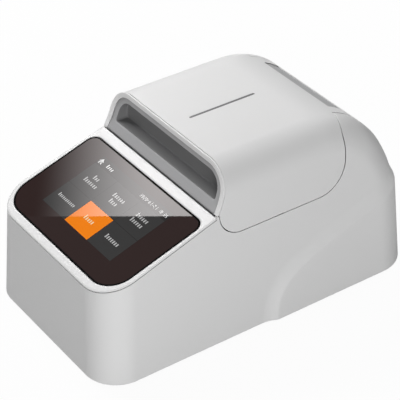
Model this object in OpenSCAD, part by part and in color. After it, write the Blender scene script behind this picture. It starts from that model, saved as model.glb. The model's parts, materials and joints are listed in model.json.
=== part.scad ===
// Benchtop glycated hemoglobin analyzer: a moulded case with a sloped touch screen at the front
// and a hinged hood over the cartridge bay. Millimetres, +Z up, front towards -Y.
// The modules are drawn with y = 0 at the front edge of the case and z = 0 at the case bottom,
// and place() then moves them so that the origin is under the middle of the feet.

/* [Case] */
// Width of the front and upper case at its bottom edge
body_w = 187; // [177:1:205]
// Depth of the case at its bottom edge
body_d = 333; // [325:1:355]
// Height of the hood top above the case bottom
hood_h = 168; // [164:1:178]
// Wall thickness of the moulded covers
wall = 3; // [2:0.25:4]
// Inward lean of the side walls, degrees
side_draft = 3.4; // [2:0.1:4.5]
// Backward lean of the front wall, degrees
front_lean = 3; // [1:0.1:4.5]
// Inward lean of the rear wall, degrees
rear_lean = 4.6; // [3:0.1:6]
// Radius of the upright front corners
front_corner_r = 31; // [20:1:38]
// Radius of the upright rear corners
rear_corner_r = 37; // [25:1:45]
// Radius of the hood shoulders
shoulder_r = 26; // [20:1:32]
// Radius of the curve from the hood top to the rear slope
rear_curve_r = 77; // [65:1:85]
// Distance from the rear of the case to the start of the rear curve
rear_curve_run = 100; // [94:1:106]
// Height of the crease where the rear slope meets the rear wall
crease_h = 83; // [70:1:90]
// How far the hip panel stands proud of the side walls
hip_proud = 4; // [2:0.5:5]
// Length of the hip panel along the bottom edge, from the rear
hip_len = 157; // [130:1:180]
// Width of the flared edge of the hip panel
hip_flare = 12; // [6:1:18]
// Gap at the seams between covers
seam = 0.5; // [0.4:0.1:0.8]
// Clearance round pieces that are set into others
fit_gap = 0.3; // [0.2:0.05:0.5]

/* [Console] */
// Height of the hood's foot above the end of the console
console_step = 0.8; // [0.5:0.1:1.5]
// Slope of the console, degrees
console_slope = 17.8; // [15:0.1:19]
// Thickness of the screen bezel
bezel_t = 3.2; // [2.5:0.1:4.5]
// Width of the touch glass
glass_w = 167; // [150:1:170]
// Length of the touch glass up the slope
glass_l = 100; // [90:1:103]
// Thickness of the touch glass
glass_t = 1.2; // [0.8:0.1:1.6]
// Distance from the console's front edge to the glass
glass_margin = 7.5; // [5:0.5:10]
// Corner radius of the glass at the front
glass_front_r = 24; // [15:1:28]
// Corner radius of the glass at the top
glass_top_r = 10; // [6:1:16]
// Width of the display panel behind the glass
display_w = 120; // [100:1:130]
// Length of the display panel behind the glass
display_l = 76; // [60:1:80]
// Thickness of the display panel
display_t = 6; // [4:0.5:8]

/* [Lid] */
// Distance from the front of the case to the foot of the hood's front
hood_front = 117.5; // [114:0.5:122]
// Height of the hood's front, from its foot to its top
hood_rise = 40; // [38:0.5:44]
// How far the hood's front leans back from foot to top
hood_front_lean = 11.5; // [8:0.5:15]
// Radius of the hollow curve of the hood's front
rim_curve_r = 55; // [48:1:70]
// Thickness of the rim round the handle recess, front to back
rim_t = 3; // [2:0.25:4]
// Width of the rim as seen from the front
rim_w = 4.8; // [4:0.2:6]
// How far the lid's sides reach below the foot of the hood's front
lid_drop = 23; // [20:0.5:25]
// Radius of the lid's lower front corner in side view
lid_front_r = 22; // [18:1:24]
// Radius of the lid's lower rear corner in side view
lid_rear_r = 28; // [20:1:34]
// Half width of the handle recess
recess_half_w = 73; // [60:1:75]
// Height of the handle recess above the foot of the hood's front
recess_lift = 9.5; // [8:0.5:12]
// Height of the handle recess
recess_h = 20; // [16:0.5:22]
// Depth of the handle recess behind the rim
recess_depth = 13; // [8:0.5:18]
// Wall of the handle recess
recess_wall = 2; // [1.5:0.25:3]
// Length of the strip let into the lid top
strip_len = 66; // [40:1:80]
// Width of the strip let into the lid top
strip_w = 2; // [1.5:0.1:4]
// Height of the liner inside the lid above the foot of the hood's front
liner_lift = 3; // [1:0.5:6]
// Thickness of the lid liner
liner_t = 2.5; // [2:0.25:4]

/* [Hinge] */
// Distance of the hinge axis from the rear of the case
hinge_from_rear = 61; // [58:0.5:64]
// Depth of the hinge axis below the rear curve
hinge_depth = 6.2; // [5.8:0.1:7.5]
// Radius about the hinge axis at which the lid parts from the case
part_r = 19.6; // [18:0.2:22]
// Radius about the hinge axis at which the lid's hinge tongue ends
tongue_r = 13.8; // [13.4:0.1:15]
// Radius of the hinge pin
pin_r = 2; // [1.5:0.1:2.5]
// Wall of the bushes on the hinge pin
bush_wall = 1.5; // [1:0.1:1.8]
// Running clearance on pins and shafts
run_gap = 0.05; // [0.02:0.01:0.1]
// Half width of the hinge bar between the arms
bar_half_w = 45.5; // [35:0.5:50]
// Width of each hinge arm
arm_w = 12; // [8:0.5:14]
// Radius of the hinge bar about the axis
bar_r = 12.3; // [11:0.1:12.8]

/* [Cartridge bay] */
// Depth of the bay deck below the bottom edge of the lid's sides
deck_drop = 5; // [4:0.5:8]
// Thickness of the bay deck
deck_t = 2.5; // [2:0.25:3.5]
// Radius of the well that the turntable turns in
well_r = 44; // [40:1:48]
// Depth of the well below the deck
well_depth = 20; // [17:0.5:22]
// Gap between the turntable and the well
turntable_gap = 2; // [1:0.25:4]
// How far the turntable stands above the deck
turntable_rise = 6; // [3:0.5:10]
// Width of the cartridge slot
slot_w = 26; // [18:1:32]
// Length of the cartridge slot
slot_l = 64; // [50:1:70]
// Depth of the cartridge slot
slot_depth = 17; // [12:0.5:18]
// Radius of the turntable shaft
shaft_r = 4; // [3:0.25:5]
// Wall of the turntable bush
shaft_bush_wall = 4; // [2.5:0.25:6]
// Teeth on the turntable gear
gear_teeth = 60; // [52:2:64]
// Teeth on the motor pinion
pinion_teeth = 15; // [13:2:17]
// Gear module
gear_module = 1.25; // [1.1:0.05:1.3]
// Thickness of the turntable gear
gear_t = 6; // [4:0.5:8]
// Side of the square motor body
motor_w = 35; // [30:1:42]
// Length of the motor body
motor_l = 28; // [20:1:32]

/* [Rear panel] */
// Width of the connector panel
panel_w = 116; // [114:1:119]
// Height of the connector panel
panel_l = 40; // [32:1:42]
// Height of the panel's middle above the case bottom
panel_mid_h = 38; // [34:0.5:42]
// Thickness of the connector panel
panel_t = 2; // [1.5:0.25:2.5]
// Width of the power rocker
rocker_w = 9; // [7:0.5:11]
// Length of the power rocker
rocker_l = 15; // [12:0.5:16]
// Tilt of the rocker between off and on, degrees
rocker_tilt = 16; // [10:1:20]

/* [Bottom] */
// Thickness of the base plate
base_t = 3; // [2:0.25:4]
// Height of the rubber feet
foot_h = 2; // [1.5:0.25:4]
// Radius of the rubber feet
foot_r = 8; // [5:0.5:12]
// Distance of feet and case screws from the outer edges
foot_inset = 24; // [20:1:30]
// Thickness of the circuit boards
board_t = 1.6; // [1:0.1:2]
// Height of the board standoffs
standoff_h = 10; // [6:0.5:12]
// Half width of the main board
board_half_w = 58; // [56:1:60]
// Length of the main board
board_l = 82; // [78:1:84]
// Distance from the front of the case to the main board
board_front = 24; // [20:1:26]
// Distance of the board screws from the board's side edges
board_edge = 6; // [5:0.5:8]
// Length of the lid screws' threads
lid_screw_l = 12; // [10:0.5:14]

/* [Hidden] */
$fn = 64;
arc_steps = 14;
eps = 0.01;
far = 400;

white = [0.87, 0.87, 0.87];
grey = [0.6, 0.6, 0.61];
dark = [0.3, 0.3, 0.31];
black = [0.1, 0.09, 0.09];
steel = [0.72, 0.73, 0.75];
brass = [0.78, 0.64, 0.35];
board_green = [0.1, 0.35, 0.2];

// Slopes of the leaning walls
side_tan = tan(side_draft);
front_tan = tan(front_lean);
rear_tan = tan(rear_lean);
half_w = body_w / 2;
hip_rear_proud = 1;

// Heights below the hood top
hood_foot_h = hood_h - hood_rise;
lid_bottom_h = hood_foot_h - lid_drop;
recess_floor_h = hood_foot_h + recess_lift;
liner_h = hood_foot_h + liner_lift;
deck_h = lid_bottom_h - deck_drop;

// Console plane in side view, which ends a small step below the foot of the hood's front
console_front_h = (hood_foot_h - console_step - hood_front * tan(console_slope))
    / (1 - front_tan * tan(console_slope));
console_y = console_front_h * front_tan;
function console_z(y) = console_front_h + (y - console_y) * tan(console_slope);
bezel_end = hood_front - 2 * seam;

// Skirt below the bezel that locates it in the case
skirt_h = 6;
skirt_inset = 8;

// Hollow curve of the hood's front in side view
hood_foot = [hood_front, hood_foot_h];
hood_brow = [hood_front + hood_front_lean, hood_h];
brow_step = hood_brow - hood_foot;
brow_mid = (hood_brow + hood_foot) / 2;
rim_c = brow_mid + [-brow_step[1], brow_step[0]] / norm(brow_step)
    * sqrt(rim_curve_r * rim_curve_r - brow_step * brow_step / 4);

// Rear curve and slope in side view
rear_c = [body_d - rear_curve_run, hood_h - rear_curve_r];
crease_step = [body_d - crease_h * rear_tan, crease_h] - rear_c;
rear_slope = asin(rear_curve_r / norm(crease_step)) - atan2(crease_step[1], crease_step[0]);

// Hinge axis in side view
hinge_y = body_d - hinge_from_rear;
hinge_z = rear_c[1] + sqrt(pow(rear_curve_r - hinge_depth, 2) - pow(hinge_y - rear_c[0], 2));
hinge = [hinge_y, hinge_z];
window_rear = hinge_y + 9.5;
window_half_w = bar_half_w + seam + arm_w + 2 * seam;
trough_r = bar_r + fit_gap;
trough_t = 2;

// Bay layout
bay_front = hood_front + 1.5;
bay_rear = hinge_y - trough_r - trough_t - deck_t - fit_gap;
well_y = (bay_front + bay_rear) / 2;
well_floor = deck_h - well_depth;
turntable_r = well_r - turntable_gap;
heater_t = 2.5;
turntable_z = well_floor + heater_t + 0.5;
turntable_top = deck_h + turntable_rise;
bush_flange_r = shaft_r + shaft_bush_wall + 2;
gear_top = well_floor - deck_t - 5;
gear_z = gear_top - gear_t;
gear_distance = gear_module * (gear_teeth + pinion_teeth) / 2;
pinion_y = well_y + gear_distance;
pinion_bore_r = 2.5;
pinion_grip = 8;
bracket_t = 2.5;
bracket_z = gear_z - 10;
motor_boss_r = 11;
post_r = 5;
post_x = half_w - wall - deck_h * side_tan - 2.5 * post_r;
post_front = bay_front + 2.5 * post_r;
post_rear = bay_rear - 2 * post_r;

// Lid fixings
lid_post_r = 4;
lid_post_x = 55;
lid_post_front = hood_brow[0] + recess_depth + 14;
lid_post_rear = hinge_y - part_r - 20;
screw_r = 1.4;
screw_head_r = 3.2;
screw_head_t = 1.7;
magnet_r = 4;
magnet_x = 60;
magnet_y = hood_brow[0] + 2;
catch_t = 1.5;
recess_back = hood_brow[0] + recess_depth - 7;

// Rear connectors, as places across the panel
switch_x = -46;
inlet_x = -20;
usb_x = [4, 24];
lan_x = 47;
connector_depth = 13;
socket_wall = 0.7;

// Points of an arc about c, of radius r, from angle a0 to a1
function arc(c, r, a0, a1, n = arc_steps) =
    [for (k = [0:n]) let (a = a0 + (a1 - a0) * k / n) c + r * [cos(a), sin(a)]];

// Points of a cubic curve through p0 and p3 with handles p1 and p2
function curve(p0, p1, p2, p3, n = 2 * arc_steps) =
    [for (k = [0:n]) let (t = k / n, s = 1 - t)
        s * s * s * p0 + 3 * s * s * t * p1 + 3 * s * t * t * p2 + t * t * t * p3];

// Rounded rectangle outline with its own radii at the front and at the rear
function plan_points(hw, y0, y1, rf, rr) = concat(
    arc([hw - rf, y0 + rf], rf, -90, 0), arc([hw - rr, y1 - rr], rr, 0, 90),
    arc([-hw + rr, y1 - rr], rr, 90, 180), arc([-hw + rf, y0 + rf], rf, 180, 270));

// Side view outline of the case below its top surfaces, set in by i
function top_points(i) = concat(
    [[-far, -far], [-far, console_z(-far) - i / cos(console_slope)]],
    [[hood_front + i, console_z(hood_front + i) - i / cos(console_slope)]],
    arc(rim_c, rim_curve_r + i, asin((hood_foot_h - rim_c[1]) / rim_curve_r),
        asin((hood_h - i - rim_c[1]) / (rim_curve_r + i))),
    arc(rear_c, rear_curve_r - i, 90, 90 - rear_slope),
    [rear_c + (rear_curve_r - i) * [sin(rear_slope), cos(rear_slope)]
        + far * [cos(rear_slope), -sin(rear_slope)]]);

// Front view outline of the hood shoulders, set in by i
shoulder_z = hood_h - shoulder_r;
shoulder_x = half_w - shoulder_z * side_tan - shoulder_r / cos(side_draft);
function shoulder_points(i) = concat([[half_w + 40, -20]],
    arc([shoulder_x, shoulder_z], shoulder_r - i, side_draft, 90),
    arc([-shoulder_x, shoulder_z], shoulder_r - i, 90, 180 - side_draft), [[-half_w - 40, -20]]);

// Side view outline of the lid, grown by g, that parts from the case at radius r about the hinge
function lid_points(g, r) = concat(
    [[hood_front - 10, far], [hood_front - 10, hood_foot_h - g], [hood_front + 2 - g, hood_foot_h - g]],
    arc([hood_front + lid_front_r + 3, lid_bottom_h + lid_front_r], lid_front_r + g, 180, 270),
    arc([hinge_y - r - lid_rear_r, lid_bottom_h + lid_rear_r], lid_rear_r + g, 270, 360),
    arc(hinge, r - g, 180, 112), [[hinge_y, far]]);

// Side view outline of the hip panel, set in by i
function hip_points(i) = concat([[body_d + 20, -20], [body_d - hip_len + i, -20]],
    curve([body_d - hip_len + i, 0], [body_d - hip_len + i, 44 - i], [body_d - hip_len + 26, 50 - i],
        [body_d - 6, crease_h + 4 - i]), [[body_d + 20, crease_h + 6 - i]]);

// Moves a drawn piece to the part's own frame
module place() translate([0, -body_d / 2, foot_h]) children();

// Extrudes a side view outline (y, z) across x0 to x1
module across(x0, x1) translate([x0, 0, 0]) rotate([90, 0, 90]) linear_extrude(x1 - x0) children();

// Extrudes a front view outline (x, z) along y0 to y1
module along(y0, y1) translate([0, y1, 0]) rotate([90, 0, 0]) linear_extrude(y1 - y0) children();

// Repeats a piece on the left and on the right
module both_sides() { children(); mirror([1, 0, 0]) children(); }

// Places children on the console: x across, y up the slope, z out of the plane
module on_console() translate([0, console_y, console_front_h]) rotate([console_slope, 0, 0]) children();

// Places children on the rear wall: x across, y outwards, z up the wall from the panel's middle
module on_rear() translate([0, body_d, 0]) rotate([rear_lean, 0, 0])
    translate([0, 0, panel_mid_h]) children();

module box(low, high) translate(low) cube(high - low);

// Block with a rounded plan whose walls lean inwards as they rise
module drafted_block(hw, y0, y1, rf, rr) {
    h = hood_h + 10;
    sx = 1 - h * side_tan / hw;
    sy = 1 - h * (front_tan + rear_tan) / (y1 - y0);
    yc = y0 + (y1 - y0) * front_tan / (front_tan + rear_tan);
    translate([0, yc, 0]) linear_extrude(h, scale = [sx, sy], slices = 1) translate([0, -yc])
        polygon(plan_points(hw, y0, y1, rf, rr));
}

// The upright walls of the case, without its top surfaces, set in by i
module case_block(i) translate([0, 0, i > 0 ? -1 : 0])
    drafted_block(half_w - i, i, body_d - hip_rear_proud - i, front_corner_r - i, rear_corner_r - i);

// The case as one solid, set in by i
module case_solid(i) intersection() {
    case_block(i);
    across(-far / 2, far / 2) polygon(top_points(i));
    along(-20, body_d + 20) polygon(shoulder_points(i));
}

// The hip panel as one solid, set in by i
module hip_solid(i) intersection() {
    translate([0, 0, i > 0 ? -1 : 0]) drafted_block(half_w + hip_proud - i, body_d / 4, body_d - i,
        front_corner_r, rear_corner_r - i);
    across(-far / 2, far / 2) polygon(top_points(i));
    if (i > 0) across(-far / 2, far / 2) polygon(hip_points(i));
    else both_sides() hip_cone();
}

// Right half of the hip outline, which widens inwards so that its edge is flared
module hip_cone() {
    reach = half_w + hip_proud;
    grow = reach * hip_flare / hip_proud / hip_len;
    translate([-eps, body_d, 0]) rotate([90, 0, 90])
        linear_extrude(reach + eps, scale = 1 / (1 + grow), slices = 1) scale(1 + grow)
            translate([-body_d, 0]) polygon(hip_points(0));
}

// Outer skin of the case, of the covers' wall thickness
module case_skin() difference() { case_solid(0); case_solid(wall); }

// Cylinder along the width about a side view point c
module cross_rod(c, r, x0, x1) translate([x0, c[0], c[1]]) rotate([0, 90, 0])
    cylinder(r = r, h = x1 - x0, $fn = r > 30 ? 360 : 96);

// Gear outline with straight-sided teeth and ample backlash
module gear_outline(teeth) {
    r = gear_module * teeth / 2;
    tip = r + 0.8 * gear_module;
    root = r - 1.2 * gear_module;
    pitch = 360 / teeth;
    polygon([for (k = [0:teeth - 1], p = [[root, -0.32], [tip, -0.12], [tip, 0.12], [root, 0.32]])
        p[0] * [cos((k + p[1]) * pitch), sin((k + p[1]) * pitch)]]);
}

// Corners at which the feet and the case screws sit
foot_places = [for (sx = [-1, 1], y = [foot_inset, body_d - foot_inset - 8]) [sx * (half_w - foot_inset), y]];
screw_places = [for (p = foot_places) p + [sign(p[0]) * -2, p[1] < body_d / 2 ? 22 : -24]];
board_places = [for (sx = [-1, 1], y = [board_front + board_edge, board_front + board_l - board_edge])
    [sx * (board_half_w - board_edge), y]];
lid_post_places = [for (sx = [-1, 1], y = [lid_post_front, lid_post_rear]) [sx * lid_post_x, y]];

module main_housing() color(white) place() difference() {
    union() {
        difference() {
            union() { case_solid(0); hip_solid(0); }
            case_solid(wall);
            hip_solid(wall);
        }
        for (p = screw_places) translate([p[0], p[1], base_t + fit_gap]) cylinder(r = 5, h = 30);
        for (p = screw_places) boss_rib(p, half_w - wall + (p[1] < body_d / 2 ? 0 : hip_proud));
    }
    for (p = screw_places) translate([p[0], p[1], 0]) cylinder(r = screw_r, h = base_t + 14);
    across(-far / 2, far / 2) polygon(lid_points(seam, part_r));
    box([-window_half_w, hinge_y - part_r, hinge_z - 3], [window_half_w, window_rear, far]);
    intersection() {
        on_console() box([-far / 2, -far / 2, -bezel_t - fit_gap], [far / 2, far, far / 2]);
        box([-far / 2, -far / 2, 0], [far / 2, bezel_end + seam, far]);
    }
    on_rear() box([-panel_w / 2 - fit_gap, -30, -panel_l / 2 - fit_gap],
        [panel_w / 2 + fit_gap, 20, panel_l / 2 + fit_gap]);
}

// Rib from a screw boss at p out to the side wall, whose inner face stands at reach
module boss_rib(p, reach) {
    side = sign(p[0]);
    inner = abs(p[0]);
    across_y = 1.5;
    mirror([side < 0 ? 1 : 0, 0, 0]) along(p[1] - across_y, p[1] + across_y) polygon([[inner, base_t + fit_gap],
        [reach + 1 - base_t * side_tan, base_t + fit_gap], [reach + 1 - 30 * side_tan, 30], [inner, 30]]);
}

module base_plate() color(dark) place() difference() {
    union() {
        linear_extrude(base_t) polygon(plan_points(half_w - wall - fit_gap, wall + fit_gap,
            body_d - hip_rear_proud - wall - fit_gap, front_corner_r - wall, rear_corner_r - wall));
        linear_extrude(base_t) polygon(plan_points(half_w + hip_proud - wall - fit_gap,
            body_d - hip_len + 4 * wall, body_d - wall - fit_gap, 2, rear_corner_r - wall));
        for (p = board_places)
            translate([p[0], p[1], base_t - eps]) cylinder(r = 3.5, h = standoff_h + eps);
    }
    for (p = board_places) translate([p[0], p[1], base_t]) cylinder(r = screw_r, h = standoff_h + 1);
    for (p = screw_places) {
        translate([p[0], p[1], -1]) cylinder(r = screw_r, h = base_t + 2);
        translate([p[0], p[1], -1]) cylinder(r = screw_head_r + fit_gap, h = 1 + screw_head_t);
    }
}

module deck_posts() color(steel) place() for (sx = [-1, 1], y = [post_front, post_rear])
    translate([sx * post_x, y, base_t]) cylinder(r = post_r, h = deck_h - deck_t - base_t);

module feet() color(black) place() for (p = foot_places)
    translate([p[0], p[1], -foot_h]) cylinder(r = foot_r, h = foot_h);

module case_screws() color(steel) place() for (p = screw_places) translate([p[0], p[1], 0]) {
    translate([0, 0, 0.2]) cylinder(r = screw_head_r, h = screw_head_t - 0.2);
    translate([0, 0, screw_head_t - eps]) cylinder(r = screw_r, h = base_t + 12 - screw_head_t);
}

// Glass outline on the console plane, set in by i
module glass_outline(i) {
    y0 = glass_margin;
    polygon(plan_points(glass_w / 2 - i, y0 + i, y0 + glass_l - i, glass_front_r - i, glass_top_r - i));
}

module screen_bezel() color(white) place() difference() {
    union() {
        intersection() {
            case_solid(0);
            on_console() box([-far / 2, -far / 2, -bezel_t], [far / 2, far, far / 2]);
            box([-far / 2, -20, 0], [far / 2, bezel_end, far]);
        }
        intersection() {
            case_block(wall + fit_gap);
            on_console() box([-far / 2, -far / 2, -bezel_t - skirt_h], [far / 2, far, -bezel_t + eps]);
            box([-far / 2, -20, 0], [far / 2, bezel_end - wall, far]);
        }
    }
    on_console() translate([0, 0, -glass_t]) linear_extrude(far) glass_outline(-fit_gap);
    on_console() translate([0, 0, -far / 2]) linear_extrude(far) glass_outline(skirt_inset);
}

module touch_glass() color(black) place() on_console() translate([0, 0, -glass_t])
    linear_extrude(glass_t - 0.1) glass_outline(0);

display_y = glass_margin + glass_l / 2 - display_l / 2;

module display_panel() color(dark) place() on_console()
    box([-display_w / 2, display_y, -glass_t - display_t], [display_w / 2, display_y + display_l, -glass_t]);

module display_bracket() color(steel) place() on_console() difference() {
    back = -glass_t - display_t;
    sheet = 1.2;
    plate_hw = display_w / 2 + skirt_inset;
    flange_hw = half_w - wall - hood_foot_h * side_tan - bezel_t;
    low = min(back - sheet, -bezel_t - skirt_h - sheet);
    y0 = display_y + display_l / 5;
    y1 = display_y + display_l - skirt_inset;
    union() {
        box([-plate_hw, y0, back - sheet], [plate_hw, y1, back]);
        both_sides() box([plate_hw - sheet, y0, low], [plate_hw, y1, back]);
        both_sides() box([plate_hw - sheet, y0, low], [flange_hw, y1, low + sheet]);
    }
    rim = 12;
    box([-display_w / 2 + rim, y0 + rim, back - 2 * sheet], [display_w / 2 - rim, y1 - rim, back + sheet]);
}

module main_board() color(board_green) place() difference() {
    z = base_t + standoff_h;
    board_mid = board_front + board_l / 2;
    chip_w = 26;
    header_x = chip_w / 2 + board_edge / 2;
    can_r = 4;
    union() {
        box([-board_half_w, board_front, z], [board_half_w, board_front + board_l, z + board_t]);
        box([-chip_w / 2, board_mid - chip_w / 2, z], [chip_w / 2, board_mid + chip_w / 2, z + board_t + 2.5]);
        both_sides() box([header_x, board_front + board_l - 3 * board_edge, z],
            [header_x + chip_w, board_front + board_l - 2 * board_edge, z + board_t + 7]);
        box([-board_half_w + board_edge, board_mid - chip_w, z],
            [-board_half_w + board_edge + chip_w, board_mid - chip_w / 4, z + board_t + 3]);
        for (k = [1:3]) translate([board_half_w - 3 * k * can_r, board_mid - chip_w / 2, z])
            cylinder(r = can_r, h = board_t + 2.5 * can_r);
    }
    for (p = board_places) translate([p[0], p[1], z - 1]) cylinder(r = screw_r, h = board_t + 2);
}

module board_screws() color(steel) place() for (p = board_places) translate([p[0], p[1], base_t]) {
    translate([0, 0, standoff_h + board_t]) cylinder(r = screw_head_r, h = screw_head_t);
    translate([0, 0, 2]) cylinder(r = screw_r, h = standoff_h + board_t - 2 + eps);
}

module speaker() color(dark) place() translate([post_x - 24, post_front - 8, base_t]) difference() {
    cylinder(r = 13, h = 8);
    translate([0, 0, 6]) cylinder(r = 10, h = 3);
}

module bay_deck() color(grey) place() difference() {
    deck_hw = half_w - wall - deck_h * side_tan - fit_gap;
    union() {
        box([-deck_hw, bay_front, deck_h - deck_t], [deck_hw, bay_rear + deck_t, deck_h]);
        translate([0, well_y, well_floor - deck_t]) cylinder(r = well_r + deck_t, h = well_depth + deck_t);
    }
    translate([0, well_y, well_floor]) cylinder(r = well_r, h = well_depth + 1);
    translate([0, well_y, 0]) cylinder(r = shaft_r + shaft_bush_wall, h = deck_h);
}

module bay_walls() color(grey) place() {
    wall_hw = half_w - wall - hood_foot_h * side_tan - 2;
    shelf_z = hood_foot_h - 4;
    box([-wall_hw, bay_front, deck_h], [wall_hw, bay_front + deck_t, shelf_z]);
    both_sides() box([magnet_x - 8, bay_front, shelf_z - 2], [magnet_x + 8, magnet_y + 6, shelf_z]);
    box([-wall_hw, bay_rear, deck_h], [wall_hw, bay_rear + deck_t, hinge_z - 3.5]);
}

module turntable_bush() color(brass) place() translate([0, well_y, 0]) difference() {
    union() {
        translate([0, 0, gear_top + 0.5]) cylinder(r = shaft_r + shaft_bush_wall, h = well_floor - gear_top);
        translate([0, 0, well_floor]) cylinder(r = bush_flange_r, h = heater_t + 0.2);
    }
    cylinder(r = shaft_r + run_gap, h = deck_h);
}

module heater_ring() color(steel) place() translate([0, well_y, well_floor]) difference() {
    cylinder(r = well_r - 1, h = heater_t);
    translate([0, 0, -1]) cylinder(r = bush_flange_r + 1, h = heater_t + 2);
}

sensor_h = 18;
sensor_half_l = 16;
sensor_out = half_w - wall - (deck_h + sensor_h) * side_tan - 4;
sensor_in = well_r + 10;
sensor_z = deck_h + turntable_rise + 5;

module optics_block() color(dark) place() difference() {
    box([-sensor_out, well_y - sensor_half_l, deck_h], [-sensor_in, well_y + sensor_half_l, deck_h + sensor_h]);
    translate([-sensor_in - 8, well_y, sensor_z]) rotate([0, 90, 0]) cylinder(r = 5, h = 9);
}

module optics_lens() color([0.6, 0.75, 0.85]) place() translate([-sensor_in - 8, well_y, sensor_z])
    rotate([0, 90, 0]) cylinder(r = 5, h = 7);

module barcode_reader() color(dark) place() difference() {
    box([sensor_in, well_y - sensor_half_l, deck_h], [sensor_out, well_y + sensor_half_l, deck_h + sensor_h]);
    box([sensor_in - 1, well_y - 10, sensor_z - 4], [sensor_in + 1.5, well_y + 10, sensor_z + 4]);
}

module reader_window() color([0.45, 0.05, 0.05]) place()
    box([sensor_in + 0.2, well_y - 10, sensor_z - 4], [sensor_in + 1.5, well_y + 10, sensor_z + 4]);

module motor_bracket() color(steel) place() difference() {
    leg = motor_w / 2 + 7;
    union() {
        box([-leg, pinion_y - motor_w / 2, bracket_z], [leg, pinion_y + motor_w / 2, bracket_z + bracket_t]);
        both_sides() box([leg - bracket_t, pinion_y - motor_w / 2, base_t],
            [leg, pinion_y + motor_w / 2, bracket_z + eps]);
        both_sides() box([leg - eps, pinion_y - motor_w / 2, base_t],
            [leg + 9, pinion_y + motor_w / 2, base_t + bracket_t]);
    }
    translate([0, pinion_y, 0]) cylinder(r = motor_boss_r + fit_gap, h = deck_h);
}

module drive_motor() color(dark) place() translate([0, pinion_y, bracket_z]) difference() {
    union() {
        box([-motor_w / 2, -motor_w / 2, -motor_l], [motor_w / 2, motor_w / 2, 0]);
        translate([0, 0, -eps]) cylinder(r = motor_boss_r, h = bracket_t + 2);
    }
    translate([0, 0, -pinion_grip - 2]) cylinder(r = pinion_bore_r + run_gap, h = 20);
}

module catch_plates() color(steel) place() both_sides()
    box([magnet_x - 6, magnet_y - 5, hood_foot_h - 4], [magnet_x + 6, magnet_y + 5, hood_foot_h - 4 + catch_t]);

module hinge_trough() color(grey) place() intersection() {
    difference() {
        cross_rod(hinge, trough_r + trough_t, -window_half_w, window_half_w);
        cross_rod(hinge, trough_r, -far / 2, far / 2);
        box([-far / 2, hinge_y - far, hinge_z - 1], [far / 2, hinge_y + far, far]);
    }
    across(-far / 2, far / 2) polygon(top_points(wall + fit_gap));
}

module hinge_bar() color(grey) place() difference() {
    intersection() {
        cross_rod(hinge, bar_r, -bar_half_w, bar_half_w);
        across(-far / 2, far / 2) polygon(top_points(0.8));
        box([-far / 2, 0, 0], [far / 2, window_rear - seam, far]);
    }
    cross_rod(hinge, pin_r, -far / 2, far / 2);
}

module hinge_pin() color(steel) place()
    cross_rod(hinge, pin_r, -bar_half_w - seam - arm_w, bar_half_w + seam + arm_w);

module rear_panel() color(dark) place() on_rear() difference() {
    union() {
        box([-panel_w / 2, -wall, -panel_l / 2], [panel_w / 2, -wall + panel_t, panel_l / 2]);
        box([-panel_w / 2 - 4, -wall - fit_gap - 1.5, -panel_l / 2 - 4],
            [panel_w / 2 + 4, -wall - fit_gap, panel_l / 2 + 4]);
        box([-panel_w / 2, -wall - fit_gap - eps, -panel_l / 2], [panel_w / 2, -wall + eps, panel_l / 2]);
    }
    connector_holes(fit_gap);
}

// Outlines of the connectors through the panel, grown by g
module connector_holes(g) {
    box([switch_x - 7 - g, -far / 2, -10 - g], [switch_x + 7 + g, far / 2, 10 + g]);
    translate([inlet_x, -far / 2, 0]) rotate([-90, 0, 0]) cylinder(r = 5.5 + g, h = far);
    for (x = usb_x) box([x - 7.2 - g, -far / 2, -3.6 - g], [x + 7.2 + g, far / 2, 3.6 + g]);
    box([lan_x - 8.2 - g, -far / 2, -7 - g], [lan_x + 8.2 + g, far / 2, 7 + g]);
}

module io_board() color(board_green) place() on_rear()
    box([-panel_w / 2 + 28, -connector_depth - board_t - 2, -panel_mid_h + base_t + 2],
        [panel_w / 2, -connector_depth - 2, panel_l / 2 - 4]);

module switch_frame() color(black) place() on_rear() translate([switch_x, 0, 0]) difference() {
    union() {
        box([-7, -connector_depth - 2, -10], [7, -wall + panel_t + eps, 10]);
        box([-8.5, -wall + panel_t, -11.5], [8.5, -wall + panel_t + 1.5, 11.5]);
    }
    box([-rocker_w / 2 - fit_gap, -connector_depth, -rocker_l / 2 - 1.2],
        [rocker_w / 2 + fit_gap, 20, rocker_l / 2 + 1.2]);
    translate([-far / 2, rocker_axis, 0]) rotate([0, 90, 0]) cylinder(r = 1.2 + run_gap, h = far);
}

rocker_axis = -wall - 2;

module power_inlet() color(black) place() on_rear() translate([inlet_x, 0, 0]) rotate([90, 0, 0]) {
    difference() {
        translate([0, 0, wall - panel_t]) cylinder(r = 5.5, h = connector_depth + 2 - wall + panel_t);
        translate([0, 0, -1]) cylinder(r = 3.2, h = connector_depth - 1);
    }
    translate([0, 0, wall]) cylinder(r = 1, h = connector_depth - wall);
}

// Socket shell with a plain opening
module socket(w, h) difference() {
    box([-w / 2, -connector_depth - 2, -h / 2], [w / 2, -wall + panel_t + 0.4, h / 2]);
    box([-w / 2 + socket_wall, -connector_depth, -h / 2 + socket_wall],
        [w / 2 - socket_wall, 20, h / 2 - socket_wall]);
}

module usb_ports() color(steel) place() on_rear() for (x = usb_x) translate([x, 0, 0]) socket(14.4, 7.2);

module lan_port() color(steel) place() on_rear() translate([lan_x, 0, 0]) socket(16.4, 14);

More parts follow.
